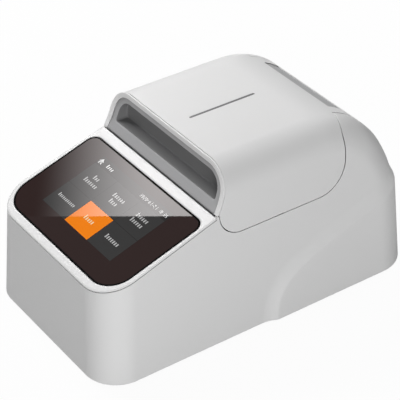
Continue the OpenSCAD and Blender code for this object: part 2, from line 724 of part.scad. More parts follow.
module lid_shell() color(white) place() difference() {
    union() {
        intersection() {
            case_skin();
            across(-far / 2, far / 2) polygon(lid_points(0, part_r));
        }
        intersection() {
            case_skin();
            across(-window_half_w + 2 * seam, window_half_w - 2 * seam) polygon(lid_points(0, tongue_r));
            box([-far / 2, hinge_y - part_r - 10, hinge_z], [far / 2, body_d, far]);
        }
        intersection() {
            for (p = lid_post_places)
                translate([p[0], p[1], liner_h + liner_t]) cylinder(r = lid_post_r, h = far);
            case_solid(wall / 2);
        }
    }
    cross_rod(rim_c, rim_curve_r + rim_t + seam, -far / 2, far / 2);
    for (p = lid_post_places)
        translate([p[0], p[1], liner_h]) cylinder(r = screw_r, h = lid_screw_l + wall / 2);
    strip_slot(fit_gap / 2);
}

// Slot for the strip in the lid top, grown by g
module strip_slot(g) translate([0, (hood_brow[0] + rear_c[0] - strip_len) / 2 + 4, hood_h - wall / 2]) {
    box([-strip_w / 2 - g, 0, -g], [strip_w / 2 + g, strip_len, wall]);
    for (y = [0, strip_len]) translate([0, y, -g]) cylinder(r = strip_w / 2 + g, h = wall + g);
}

module lid_strip() color(dark) place() intersection() {
    strip_slot(0);
    box([-far / 2, 0, 0], [far / 2, body_d, hood_h - 0.3]);
}

module lid_rim() color(white) place() difference() {
    intersection() {
        case_solid(0);
        cross_rod(rim_c, rim_curve_r + rim_t, -far / 2, far / 2);
        across(-far / 2, far / 2) polygon(lid_points(0, part_r));
    }
    along(0, body_d) polygon(aperture_points(rim_w));
}

// Front view outline of the opening in the rim, set in by i from the shoulders
function aperture_points(i) = concat([[half_w - hood_foot_h * side_tan - i, 0]],
    arc([shoulder_x, shoulder_z], shoulder_r - i, side_draft, 90),
    arc([-shoulder_x, shoulder_z], shoulder_r - i, 90, 180 - side_draft),
    [[-half_w + hood_foot_h * side_tan + i, 0]]);

// Front view outline of the recess, grown by g
module recess_outline(g) {
    r = 8;
    hw = recess_half_w + g;
    z0 = recess_floor_h - g;
    polygon(plan_points(hw, z0, z0 + recess_h + 2 * g, 2 + g, r + g));
}

module pocket_frame() color(grey) place() difference() {
    intersection() {
        cross_rod(rim_c, rim_curve_r + rim_t, -far / 2, far / 2);
        along(0, body_d) intersection() {
            polygon(aperture_points(rim_w + 0.1));
            translate([-far / 2, hood_foot_h + fit_gap]) square([far, far]);
        }
        box([-far / 2, hood_front, 0], [far / 2, body_d, far]);
    }
    cross_rod(rim_c, rim_curve_r + 1.2, -far, far);
    along(0, body_d) recess_outline(0);
}

module handle_pocket() color(dark) place() difference() {
    intersection() {
        along(hood_front - 5, recess_back + recess_wall) recess_outline(recess_wall);
        box([-far / 2, hood_front, 0], [far / 2, body_d, far]);
    }
    cross_rod(rim_c, rim_curve_r + rim_t, -far, far);
    along(0, recess_back) recess_outline(0);
}

module lid_liner() color(grey) place() difference() {
    liner_hw = half_w - wall - (liner_h + liner_t) * side_tan - fit_gap;
    box([-liner_hw, recess_back + recess_wall + 1, liner_h],
        [liner_hw, hinge_y - part_r - 6, liner_h + liner_t]);
    for (p = lid_post_places) translate([p[0], p[1], 0]) cylinder(r = screw_r, h = far);
}

module lid_screws() color(steel) place() for (p = lid_post_places) translate([p[0], p[1], liner_h]) {
    translate([0, 0, -screw_head_t]) cylinder(r = screw_head_r, h = screw_head_t);
    translate([0, 0, -eps]) cylinder(r = screw_r, h = lid_screw_l);
}

module lid_magnets() color(steel) place() both_sides()
    translate([magnet_x, magnet_y, hood_foot_h - 4 + catch_t + 1])
        cylinder(r = magnet_r, h = recess_floor_h - recess_wall - hood_foot_h + 4 - catch_t - 1);

module hinge_arms() color(white) place() both_sides() difference() {
    x0 = bar_half_w + seam;
    arm_front = hinge_y - part_r - 2 * wall;
    arm_rear = window_rear - 2 * seam;
    intersection() {
        across(x0, x0 + arm_w) polygon([[arm_front, hinge_z], [arm_front, far], [arm_rear, far],
            [arm_rear, hinge_z - 4], [hinge_y + 3, hinge_z - 8], [hinge_y - 5, hinge_z - 7],
            [hinge_y - 9.5, hinge_z]]);
        union() {
            across(-far / 2, far / 2) polygon(top_points(wall));
            intersection() {
                across(-far / 2, far / 2) polygon(top_points(0));
                cross_rod(hinge, tongue_r - 0.2, -far / 2, far / 2);
            }
        }
    }
    cross_rod(hinge, pin_r + run_gap + bush_wall, 0, far / 2);
}

module hinge_bushes() color(brass) place() both_sides() difference() {
    x0 = bar_half_w + seam;
    cross_rod(hinge, pin_r + run_gap + bush_wall, x0, x0 + arm_w);
    cross_rod(hinge, pin_r + run_gap, 0, far / 2);
}

module turntable() color(grey) place() translate([0, well_y, 0]) difference() {
    translate([0, 0, turntable_z]) cylinder(r = turntable_r, h = turntable_top - turntable_z);
    box([-slot_w / 2, -slot_l / 2, turntable_top - slot_depth], [slot_w / 2, slot_l / 2, far]);
    cylinder(r = shaft_r, h = turntable_z + 4);
}

module turntable_shaft() color(steel) place() translate([0, well_y, gear_z - 2])
    cylinder(r = shaft_r, h = turntable_z + 4 - gear_z + 2);

module turntable_gear() color(white) place() translate([0, well_y, gear_z]) rotate([0, 0, 90])
    linear_extrude(gear_t) difference() {
        gear_outline(gear_teeth);
        circle(r = shaft_r);
    }

module motor_pinion() color(brass) place() translate([0, pinion_y, 0]) rotate([0, 0, 90]) {
    translate([0, 0, gear_z - 1]) linear_extrude(gear_t + 2) gear_outline(pinion_teeth);
    translate([0, 0, bracket_z - pinion_grip])
        cylinder(r = pinion_bore_r, h = gear_z + gear_t - bracket_z + pinion_grip);
}

module power_rocker() color(black) place() on_rear() translate([switch_x, rocker_axis, 0])
    rotate([-rocker_tilt / 2, 0, 0]) {
        across(-rocker_w / 2, rocker_w / 2) polygon([[-5, -4], [3.4, -rocker_l / 2], [4.4, -rocker_l / 2 + 0.4],
            [3.2, 0], [4.4, rocker_l / 2 - 0.4], [3.4, rocker_l / 2], [-5, 4]]);
        translate([-rocker_w / 2 - 1.2, 0, 0]) rotate([0, 90, 0]) cylinder(r = 1.2, h = rocker_w + 2.4);
    }

main_housing();
base_plate();
deck_posts();
feet();
case_screws();
screen_bezel();
touch_glass();
display_panel();
display_bracket();
main_board();
board_screws();
speaker();
bay_deck();
bay_walls();
turntable_bush();
heater_ring();
optics_block();
optics_lens();
barcode_reader();
reader_window();
motor_bracket();
drive_motor();
catch_plates();
hinge_trough();
hinge_bar();
hinge_pin();
rear_panel();
io_board();
switch_frame();
power_inlet();
usb_ports();
lan_port();
lid_shell();
lid_rim();
pocket_frame();
handle_pocket();
lid_strip();
lid_liner();
lid_screws();
lid_magnets();
hinge_arms();
hinge_bushes();
turntable();
turntable_shaft();
turntable_gear();
motor_pinion();
power_rocker();
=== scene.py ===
"""Looks of a benchtop glycated hemoglobin analyzer: smooth moulded covers, a dark touch screen with a
plain tiled display, and a small studio. Shapes are worked out in millimetres with y = 0 at the front of
the case and z = 0 at its bottom, as the solids were drawn, and to_frame() moves them to the shared frame
in metres."""

import json
import math

import bpy
import numpy as np
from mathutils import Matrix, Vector


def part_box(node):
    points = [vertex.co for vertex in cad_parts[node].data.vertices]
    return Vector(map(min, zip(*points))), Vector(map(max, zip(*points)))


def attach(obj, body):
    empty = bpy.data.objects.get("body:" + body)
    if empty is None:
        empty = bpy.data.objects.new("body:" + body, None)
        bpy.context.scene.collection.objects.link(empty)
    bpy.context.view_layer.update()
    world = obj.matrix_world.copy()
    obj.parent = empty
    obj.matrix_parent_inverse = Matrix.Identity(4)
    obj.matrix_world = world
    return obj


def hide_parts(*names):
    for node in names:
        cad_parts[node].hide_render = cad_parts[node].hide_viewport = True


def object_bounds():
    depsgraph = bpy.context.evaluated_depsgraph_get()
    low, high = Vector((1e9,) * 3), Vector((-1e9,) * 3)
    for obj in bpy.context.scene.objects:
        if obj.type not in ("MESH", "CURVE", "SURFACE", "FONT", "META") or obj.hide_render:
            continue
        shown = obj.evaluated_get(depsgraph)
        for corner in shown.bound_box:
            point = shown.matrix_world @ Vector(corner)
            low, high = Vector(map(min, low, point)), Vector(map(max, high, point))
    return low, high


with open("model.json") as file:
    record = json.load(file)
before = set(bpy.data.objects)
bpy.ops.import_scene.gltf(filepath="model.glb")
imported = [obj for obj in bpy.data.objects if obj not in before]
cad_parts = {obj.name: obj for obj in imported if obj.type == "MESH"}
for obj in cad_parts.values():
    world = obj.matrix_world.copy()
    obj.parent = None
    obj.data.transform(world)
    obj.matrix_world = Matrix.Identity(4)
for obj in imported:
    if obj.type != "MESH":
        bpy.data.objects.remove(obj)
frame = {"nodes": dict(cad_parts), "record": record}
cad_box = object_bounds()

# Sizes of the case, in millimetres
BODY_D = (cad_box[1].y - cad_box[0].y) * 1000
FOOT_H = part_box("feet")[1].z * 1000
HALF_W = 93.5
HOOD_H = 168.0
WALL = 3.0
REAR_DRAFT = math.radians(4.6)
SIDE_TAN = math.tan(math.radians(3.4))
FRONT_TAN = math.tan(math.radians(3.0))
REAR_TAN = math.tan(REAR_DRAFT)
FRONT_R = 31.0
REAR_R = 37.0
SHOULDER_R = 26.0
REAR_CURVE_R = 77.0
REAR_CURVE_FROM_REAR = 100.0
CREASE_H = 83.0
HIP_PROUD = 4.0
HIP_REAR_PROUD = 1.0
HIP_LEN = 157.0
HIP_FLARE = 15.0
CREASE_SOFT = 0.9
SEAM = 0.5
SEAM_SHOWN = 0.75

# Console
CONSOLE_H = 91.0
CONSOLE_SLOPE = math.radians(17.8)
CONSOLE_TAN = math.tan(CONSOLE_SLOPE)
CONSOLE_COS = math.cos(CONSOLE_SLOPE)
CONSOLE_SIN = math.sin(CONSOLE_SLOPE)
CONSOLE_Y = CONSOLE_H * FRONT_TAN
BEZEL_T = 1.4
BEZEL_EDGE_R = 0.6
BEZEL_SEAM = 0.8
GLASS_W = 167.0
GLASS_L = 100.0
GLASS_T = 1.2
GLASS_MARGIN = 7.5
GLASS_FRONT_R = 24.0
GLASS_TOP_R = 10.0

# Lid
HOOD_FRONT = 117.5
HOOD_FOOT_H = 128.0
HOOD_LEAN = 10.5
RIM_CURVE_R = 96.0
RIM_T = 1.5
RIM_W = 4.6
LID_BOTTOM_H = 105.0
LID_FRONT_R = 22.0
LID_REAR_R = 28.0
LIP_W = 5.9
LIP_STEP = 1.2
LIP_EDGE_R = 0.8
RECESS_FLOOR_H = 136.0
RECESS_BACK = 135.5
RECESS_CORNER_R = 2.5
POCKET_WALL = 1.9
POCKET_CORNER_R = 1.2
POCKET_OUTER_R = 3.0
STRIP_LEN = 66.0
STRIP_W = 2.6
GROOVE_DEPTH = 0.8
GROOVE_EDGE_W = 0.25
EDGE_R = 0.3

# Hinge
HINGE_Y = BODY_D - 61.0
HINGE_DEPTH = 6.2
PART_R = 19.6
TONGUE_R = 13.8
WINDOW_HALF_W = 59.0
WINDOW_REAR = HINGE_Y + 9.5

# Window of the rear panel, up the leaning rear wall
PANEL_HALF_W = 58.3
PANEL_EDGES = np.array([17.7, 58.3]) * math.cos(REAR_DRAFT)

# Side view points worked out from the sizes above
HOOD_FOOT = np.array([HOOD_FRONT, HOOD_FOOT_H])
HOOD_BROW = np.array([HOOD_FRONT + HOOD_LEAN, HOOD_H])
brow_step = HOOD_BROW - HOOD_FOOT
brow_side = np.array([-brow_step[1], brow_step[0]]) / np.hypot(*brow_step)
RIM_C = (HOOD_FOOT + HOOD_BROW) / 2 + brow_side * math.sqrt(RIM_CURVE_R ** 2 - brow_step @ brow_step / 4)
REAR_C = np.array([BODY_D - REAR_CURVE_FROM_REAR, HOOD_H - REAR_CURVE_R])
crease_step = np.array([BODY_D - CREASE_H * REAR_TAN, CREASE_H]) - REAR_C
REAR_SLOPE = math.asin(REAR_CURVE_R / np.hypot(*crease_step)) - math.atan2(crease_step[1], crease_step[0])
HINGE_Z = REAR_C[1] + math.sqrt((REAR_CURVE_R - HINGE_DEPTH) ** 2 - (HINGE_Y - REAR_C[0]) ** 2)
LID_FRONT_C = np.array([HOOD_FRONT + LID_FRONT_R + 3, LID_BOTTOM_H + LID_FRONT_R])
LID_REAR_C = np.array([HINGE_Y - PART_R - LID_REAR_R, LID_BOTTOM_H + LID_REAR_R])

# Control points of the hip's outline in side view, a cubic curve from the bottom edge to the rear
HIP_START = BODY_D - HIP_LEN
CREASE = np.array([[HIP_START, 0.0], [HIP_START, 44.0], [HIP_START + 26.0, 50.0],
                   [BODY_D - 6.0, CREASE_H + 4.0]])
CREASE_ENDS = (-0.12, 1.12)

# How far rays are followed, how often they are halved, where those that go up start, and the step of slopes
RAY_REACH = 420.0
RAY_HALVINGS = 34
RAY_START_H = 90.0
SLOPE_STEP = 0.02


def to_frame(points):
    """Case millimetres to the shared frame: y counted from the middle, z from the bench, in metres."""
    return (points + np.array([0.0, -BODY_D / 2, FOOT_H])) / 1000


# Signed distances: negative inside, positive outside, in millimetres

def rounded_common(a, b, r):
    """Distance to what two regions share, with the edge between them rounded to radius r."""
    corner = np.hypot(np.maximum(a + r, 0), np.maximum(b + r, 0))
    return np.minimum(np.maximum(a, b), -r) + corner


def rounded_meet(a, b, cosine, r):
    """Distance to what two regions share when their outward directions are not square to each other but have
    the given cosine between them. In the wedge between the two directions it is the distance to the line that
    lies r below both faces, less r; elsewhere it is the larger of the two."""
    p, q = a + r, b + r
    squared = np.maximum(p * p + q * q - 2 * cosine * p * q, 0)
    to_line = np.sqrt(squared / np.maximum(1 - cosine ** 2, 1e-6))
    wedge = (p > cosine * q) & (q > cosine * p)
    return np.where(wedge, to_line - r, np.maximum(a, b))


def plan_distance(x, y, half_w, y_front, y_rear):
    """Distance in plan to a rectangle with rounded corners, of one radius in front and another behind, and
    how far its outward direction points to the rear."""
    middle = (y_front + y_rear) / 2
    r = np.where(y < middle, FRONT_R, REAR_R)
    qx = np.abs(x) - half_w + r
    qy = np.abs(y - middle) - (y_rear - y_front) / 2 + r
    reach = np.hypot(np.maximum(qx, 0), np.maximum(qy, 0))
    along = np.where(reach > 1e-6, np.maximum(qy, 0) / np.maximum(reach, 1e-6), 1.0 * (qy > qx))
    return np.minimum(np.maximum(qx, qy), 0) + reach - r, along * np.sign(y - middle)


def top_distance(y, z):
    """Distance in side view to the hood's top: level, then an arc, then the straight rear slope. The second
    value is how far its outward direction points to the rear."""
    dy = y - REAR_C[0]
    dz = z - REAR_C[1]
    turn = np.arctan2(dy, dz)
    slope = dy * math.sin(REAR_SLOPE) + dz * math.cos(REAR_SLOPE) - REAR_CURVE_R
    curve = np.where(turn < REAR_SLOPE, np.hypot(dy, dz) - REAR_CURVE_R, slope)
    return np.where(turn < 0, z - HOOD_H, curve), np.sin(np.clip(turn, 0, REAR_SLOPE))


def cubic(points, t):
    """Point and first two derivatives of a cubic curve given by four control points, at each t."""
    p0, p1, p2, p3 = (points[k][:, None] for k in range(4))
    s = 1 - t
    place = s ** 3 * p0 + 3 * s * s * t * p1 + 3 * s * t * t * p2 + t ** 3 * p3
    rate = 3 * (s * s * (p1 - p0) + 2 * s * t * (p2 - p1) + t * t * (p3 - p2))
    bend = 6 * (s * (p2 - 2 * p1 + p0) + t * (p3 - 2 * p2 + p1))
    return place, rate, bend


CREASE_T = np.linspace(*CREASE_ENDS, 63)
CREASE_POINTS = cubic(CREASE, CREASE_T)[0]


def crease_distance(y, z):
    """Distance in side view to the hip's outline, negative on the hip: the nearest of a row of points on the
    cubic curve is moved along it by Newton's method, and the sign is that of the side it is seen from."""
    gaps = (y[:, None] - CREASE_POINTS[0]) ** 2 + (z[:, None] - CREASE_POINTS[1]) ** 2
    t = CREASE_T[np.argmin(gaps, axis=1)]
    for _ in range(3):
        place, rate, bend = cubic(CREASE, t)
        off_y, off_z = place[0] - y, place[1] - z
        slope = off_y * rate[0] + off_z * rate[1]
        steep = rate[0] ** 2 + rate[1] ** 2 + off_y * bend[0] + off_z * bend[1]
        t = np.clip(t - slope / np.where(np.abs(steep) < 1e-3, 1e-3, steep), *CREASE_ENDS)
    place, rate, _ = cubic(CREASE, t)
    side = (y - place[0]) * rate[1] - (z - place[1]) * rate[0]
    return -np.sign(side) * np.hypot(y - place[0], z - place[1])


def hip_offset(y, z):
    """How far the hip stands proud: the full step inside its outline, and outside it a hollow sweep that
    falls with the square of the distance to nothing at the flare's width. A soft ramp rounds the crease
    itself."""
    offset = np.zeros_like(y)
    near = y > HIP_START - 2 * HIP_FLARE
    d = crease_distance(y[near], z[near])
    ramp = 0.5 * (d + np.hypot(d, CREASE_SOFT))
    offset[near] = HIP_PROUD * np.clip(1 - ramp / HIP_FLARE, 0, 1) ** 2
    return offset


def case_parts(p):
    """Distances to the leaning walls with the proud hip and to the hood's top, and the cosine between the
    two."""
    x, y, z = p[:, 0], p[:, 1], p[:, 2]
    proud = hip_offset(y, z)
    share = HIP_REAR_PROUD / HIP_PROUD
    walls, wall_rear = plan_distance(x, y, HALF_W - z * SIDE_TAN + proud, z * FRONT_TAN,
                                     BODY_D - HIP_REAR_PROUD - z * REAR_TAN + proud * share)
    top, top_rear = top_distance(y, z)
    return walls, top - proud * share, np.maximum(wall_rear * top_rear, 0)


def case_distance(p):
    """Distance to the whole case: its walls joined to the hood's top by the shoulder."""
    return rounded_meet(*case_parts(p), SHOULDER_R)


def console_distance(p):
    """Distance above the console plane."""
    return (p[:, 2] - CONSOLE_H - (p[:, 1] - CONSOLE_Y) * CONSOLE_TAN) * CONSOLE_COS


def bezel_distance(p):
    """Distance to the front of the case below the console plane, with the edge rounded."""
    x, y, z = p[:, 0], p[:, 1], p[:, 2]
    walls, _ = plan_distance(x, y, HALF_W - z * SIDE_TAN, z * FRONT_TAN, BODY_D + 0 * z)
    return rounded_common(walls, console_distance(p), BEZEL_EDGE_R)


def cast(distance, start, toward):
    """Points where rays from start through toward leave a solid: the inside part of each ray is halved
    down."""
    shape = np.broadcast(start, toward).shape
    start = np.broadcast_to(start, shape).reshape(-1, 3)
    toward = np.broadcast_to(toward, shape).reshape(-1, 3)
    step = toward - start
    step = step / np.linalg.norm(step, axis=1, keepdims=True)
    low = np.zeros(len(start))
    high = np.full(len(start), RAY_REACH)
    for _ in range(RAY_HALVINGS):
        middle = (low + high) / 2
        inside = distance(start + middle[:, None] * step) < 0
        low = np.where(inside, middle, low)
        high = np.where(inside, high, middle)
    return (start + low[:, None] * step).reshape(shape)


def normals(distance, points):
    """Outward directions on a solid's surface: the slope of its distance along each axis."""
    flat = points.reshape(-1, 3)
    steps = SLOPE_STEP * np.eye(3)
    slope = np.stack([distance(flat + step) - distance(flat - step) for step in steps], axis=1)
    slope /= np.maximum(np.linalg.norm(slope, axis=1, keepdims=True), 1e-9)
    return slope.reshape(points.shape)


def case_normals(points):
    """Outward directions on the case. The cosine between walls and top is held while the slope is taken, so
    that the shading runs on smoothly where that cosine starts to change."""
    cosine = case_parts(points.reshape(-1, 3))[2]

    def held_distance(p):
        walls, top, _ = case_parts(p)
        return rounded_meet(walls, top, cosine, SHOULDER_R)

    return normals(held_distance, points)


def arc(center, r, a0, a1, n):
    """Points of an arc in side view, from angle a0 to a1 in degrees."""
    a = np.radians(np.linspace(a0, a1, n))
    return np.stack([center[0] + r * np.cos(a), center[1] + r * np.sin(a)], axis=1)


def step_lengths(points):
    """Length of each step along a line of points."""
    return np.linalg.norm(np.diff(points, axis=0), axis=1)


def resample(points, n):
    """n points at equal steps along a line of points."""
    along = np.concatenate([[0], np.cumsum(step_lengths(points))])
    at = np.linspace(0, along[-1], n)
    return np.stack([np.interp(at, along, points[:, k]) for k in range(points.shape[1])], axis=1)


def on_side(outline, distance=case_distance):
    """Puts side view points (y, z) onto the right side of the case."""
    start = np.stack([0 * outline[:, 0], outline[:, 0], outline[:, 1]], axis=1)
    return cast(distance, start, start + np.array([1.0, 0, 0]))


def on_top(plan):
    """Puts plan points (x, y) onto the top of the case."""
    start = np.stack([plan[:, 0], plan[:, 1], 0 * plan[:, 0] + RAY_START_H], axis=1)
    return cast(case_distance, start, start + np.array([0, 0, 1.0]))


def mirrored(points):
    """The left half that matches a right half, in reverse order and without the points on the middle line."""
    left = points[::-1] * np.array([-1.0, 1, 1])
    return left[np.abs(left[:, 0]) > 1e-4]


# Meshes

def add_piece(name, points, faces, body, material, shading=None, flat=0):
    """Makes one mesh from points and a list of faces, riding on a body. shading gives each point's own
    normal, which holds for all faces but the last ones: as many as flat says keep their own."""
    mesh = bpy.data.meshes.new(name)
    mesh.from_pydata(to_frame(points).tolist(), [], faces)
    count = len(mesh.polygons)
    mesh.polygons.foreach_set("use_smooth", np.ones(count, dtype=bool))
    mesh.materials.append(material)
    mesh.update()
    if shading is not None:
        corner = np.empty(len(mesh.loops), dtype=np.int32)
        mesh.loops.foreach_get("vertex_index", corner)
        face_normal = np.empty(3 * count, dtype=np.float32)
        mesh.polygons.foreach_get("normal", face_normal)
        face_size = np.empty(count, dtype=np.int32)
        mesh.polygons.foreach_get("loop_total", face_size)
        of_face = np.repeat(np.arange(count), face_size)
        keeps_own = (of_face >= count - flat)[:, None]
        facing = np.where(keeps_own, face_normal.reshape(-1, 3)[of_face], shading[corner])
        mesh.normals_split_custom_set(facing.tolist())
    piece = bpy.data.objects.new(name, mesh)
    bpy.context.scene.collection.objects.link(piece)
    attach(piece, body)
    return piece


def grid_faces(rows, columns, closed_rows=False, closed_columns=False):
    """Four-sided faces of a grid of points, wrapped round where a direction is closed."""
    r = np.arange(rows if closed_rows else rows - 1)[:, None]
    c = np.arange(columns if closed_columns else columns - 1)[None, :]
    r1 = (r + 1) % rows
    c1 = (c + 1) % columns
    corners = [r * columns + c, r * columns + c1, r1 * columns + c1, r1 * columns + c]
    return np.stack(corners, axis=-1).reshape(-1, 4)


def tube_faces(rows, columns):
    """Faces of a grid whose columns go round, with its first and last rows closed by one face each."""
    ends = [np.arange(columns)[::-1].tolist(), (np.arange(columns) + (rows - 1) * columns).tolist()]
    return grid_faces(rows, columns, closed_columns=True).tolist() + ends


EDGE_TURN = np.radians([0, 30, 60, 90])


def rolled_edge(edge, inner, outward, r):
    """Rows that round an edge off: a quarter circle of radius r that starts along the surface, towards the
    row inside it, and ends square to it."""
    along = inner - edge
    along /= np.maximum(np.linalg.norm(along, axis=-1, keepdims=True), 1e-9)
    turn = EDGE_TURN[:, None, None]
    rows = edge + r * (1 - np.sin(turn)) * along - r * (1 - np.cos(turn)) * outward
    facing = np.cos(turn) * outward - np.sin(turn) * along
    return rows, facing


def loop_shell(name, outer, outward, thickness, edge_r, keep, window, body, material):
    """Closed wall from a ring-shaped surface, rows going from one edge to the other: the surface, a rolled
    edge, the inner side at the wall's thickness on the rows in keep, and the other rolled edge. The wall is
    cut through between the two rows and the two columns in window, and the cut's four sides join the surface
    to the inside."""
    first, first_facing = rolled_edge(outer[0], outer[1], outward[0], edge_r)
    last, last_facing = rolled_edge(outer[-1], outer[-2], outward[-1], edge_r)
    inside = outer[keep] - thickness * outward[keep]
    points = np.concatenate([first[::-1], outer[1:-1], last, inside])
    facing = np.concatenate([first_facing[::-1], outward[1:-1], last_facing, -outward[keep]])
    rows, columns = points.shape[:2]
    low, high, right, left = window
    skin_low = low + len(EDGE_TURN) - 1
    skin_high = high + len(EDGE_TURN) - 1
    inner_low = rows - len(keep) + np.flatnonzero(keep == low)[0]
    inner_high = rows - len(keep) + np.flatnonzero(keep == high)[0]
    sheet = grid_faces(rows, columns, closed_rows=True, closed_columns=True)
    row, column = sheet[:, 0] // columns, sheet[:, 0] % columns
    in_skin = (row >= skin_low) & (row < skin_high)
    in_lining = (row >= inner_high) & (row < inner_low)
    cut = (column >= right) & (column < left) & (in_skin | in_lining)
    span = np.arange(right, left + 1)
    front_low, front_high = skin_low * columns + span, skin_high * columns + span
    rear_low, rear_high = inner_low * columns + span, inner_high * columns + span
    sill = np.stack([front_low[:-1], front_low[1:], rear_low[1:], rear_low[:-1]], axis=1)
    head = np.stack([rear_high[:-1], rear_high[1:], front_high[1:], front_high[:-1]], axis=1)
    up = np.arange(skin_low, skin_high + 1) * columns
    jambs = [np.concatenate([[rear_low[0], rear_high[0]], up[::-1] + right]).tolist(),
             np.concatenate([up + left, [rear_high[-1], rear_low[-1]]]).tolist()]
    faces = sheet[~cut].tolist() + sill.tolist() + head.tolist() + jambs
    flat = len(sill) + len(head) + len(jambs)
    return add_piece(name, points.reshape(-1, 3), faces, body, material, facing.reshape(-1, 3), flat)


def patch_shell(name, outer, outward, thickness, edge_r, main, tongue, body, material):
    """Closed wall from a T-shaped surface: the surface, a rolled edge all round it and the inner side. Every
    row has the main columns, and only the rows between the two in tongue go on to the last column. The
    outline's eight sides are listed in turn, with the row and column of each edge point and of the point
    inside it."""
    rows, columns = outer.shape[:2]
    low, high = tongue
    m, last = main - 1, columns - 1
    r, c = np.arange(rows), np.arange(columns)
    sides = [(0, c[:m], 1, np.maximum(c[:m], 1)),
             (r[:low], m, np.maximum(r[:low], 1), m - 1),
             (low, c[m:last], low + 1, np.where(c[m:last] == m, m - 1, c[m:last])),
             (r[low:high], last, np.maximum(r[low:high], low + 1), last - 1),
             (high, c[last:m:-1], high - 1, np.minimum(c[last:m:-1], last - 1)),
             (r[high:-1], m, np.where(r[high:-1] == high, high - 1, r[high:-1]), m - 1),
             (rows - 1, c[m:0:-1], rows - 2, np.minimum(c[m:0:-1], m - 1)),
             (r[:0:-1], 0, np.minimum(r[:0:-1], rows - 2), 1)]
    sides = [np.broadcast_arrays(*side) for side in sides]
    edge_row, edge_column, in_row, in_column = (np.concatenate(k) for k in zip(*sides))
    ring = edge_row * columns + edge_column
    within = in_row * columns + in_column
    flat, flat_out = outer.reshape(-1, 3), outward.reshape(-1, 3)
    roll, facing = rolled_edge(flat[ring], flat[within], flat_out[ring], edge_r)
    skin = flat.copy()
    skin[ring] = roll[0]
    inside = flat - thickness * flat_out
    points = np.concatenate([skin, roll[1:].reshape(-1, 3), inside])
    shading = np.concatenate([flat_out, facing[1:].reshape(-1, 3), -flat_out])
    count, n = rows * columns, len(ring)
    second = count + (len(EDGE_TURN) - 1) * n
    bands = [ring, *(np.arange(count, second).reshape(-1, n)), second + ring]
    strips = [np.stack([b, np.roll(b, -1), np.roll(a, -1), a], axis=1) for a, b in zip(bands, bands[1:])]
    sheet = grid_faces(rows, columns)
    row, column = sheet[:, 0] // columns, sheet[:, 0] % columns
    sheet = sheet[(column < m) | ((row >= low) & (row < high))]
    faces = np.concatenate([sheet, *strips, sheet[:, ::-1] + second])
    used, faces = np.unique(faces, return_inverse=True)
    return add_piece(name, points[used], faces.reshape(-1, 4).tolist(), body, material, shading[used])


# Materials

def new_material(name, colour, roughness, specular=0.5, metallic=0.0, coat=0.0):
    """A plain surface whose constant values sit on the shader's own sockets."""
    material = bpy.data.materials.new(name)
    material.use_nodes = True
    shader = material.node_tree.nodes["Principled BSDF"]
    shader.inputs["Base Color"].default_value = (*colour, 1.0)
    shader.inputs["Roughness"].default_value = roughness
    shader.inputs["Specular IOR Level"].default_value = specular
    shader.inputs["Metallic"].default_value = metallic
    shader.inputs["Coat Weight"].default_value = coat
    return material


def make_grain_group():
    """Fine moulded grain on Object coordinates: a height for a bump and a slight change of roughness."""
    group = bpy.data.node_groups.new("moulded_grain", "ShaderNodeTree")
    for label, kind in (("Grain Size", "NodeSocketFloat"), ("Roughness", "NodeSocketFloat"),
                        ("Variation", "NodeSocketFloat")):
        group.interface.new_socket(label, in_out="INPUT", socket_type=kind)
    for label in ("Height", "Roughness"):
        group.interface.new_socket(label, in_out="OUTPUT", socket_type="NodeSocketFloat")
    nodes, links = group.nodes, group.links
    entry = nodes.new("NodeGroupInput")
    leave = nodes.new("NodeGroupOutput")
    place = nodes.new("ShaderNodeTexCoord")
    fine = nodes.new("ShaderNodeTexNoise")
    broad = nodes.new("ShaderNodeTexNoise")
    broad.inputs["Scale"].default_value = 40.0
    centred = nodes.new("ShaderNodeMath")
    centred.operation = "SUBTRACT"
    centred.inputs[1].default_value = 0.5
    spread = nodes.new("ShaderNodeMath")
    spread.operation = "MULTIPLY_ADD"
    links.new(place.outputs["Object"], fine.inputs["Vector"])
    links.new(place.outputs["Object"], broad.inputs["Vector"])
    links.new(entry.outputs["Grain Size"], fine.inputs["Scale"])
    links.new(broad.outputs["Fac"], centred.inputs[0])
    links.new(centred.outputs[0], spread.inputs[0])
    links.new(entry.outputs["Variation"], spread.inputs[1])
    links.new(entry.outputs["Roughness"], spread.inputs[2])
    links.new(fine.outputs["Fac"], leave.inputs["Height"])
    links.new(spread.outputs[0], leave.inputs["Roughness"])
    return group


GRAIN = make_grain_group()


def moulded(name, colour, roughness, grain=2500.0, depth=0.02, metallic=0.0):
    """Moulded or turned surface: plain colour with the fine grain as a bump and in the roughness."""
    material = new_material(name, colour, roughness, metallic=metallic)
    nodes, links = material.node_tree.nodes, material.node_tree.links
    shader = nodes["Principled BSDF"]
    grained = nodes.new("ShaderNodeGroup")
    grained.node_tree = GRAIN
    grained.inputs["Grain Size"].default_value = grain
    grained.inputs["Roughness"].default_value = roughness
    grained.inputs["Variation"].default_value = 0.12
    bump = nodes.new("ShaderNodeBump")
    bump.inputs["Strength"].default_value = depth
    bump.inputs["Distance"].default_value = 0.0002
    links.new(grained.outputs["Height"], bump.inputs["Height"])
    links.new(bump.outputs["Normal"], shader.inputs["Normal"])
    links.new(grained.outputs["Roughness"], shader.inputs["Roughness"])
    return material


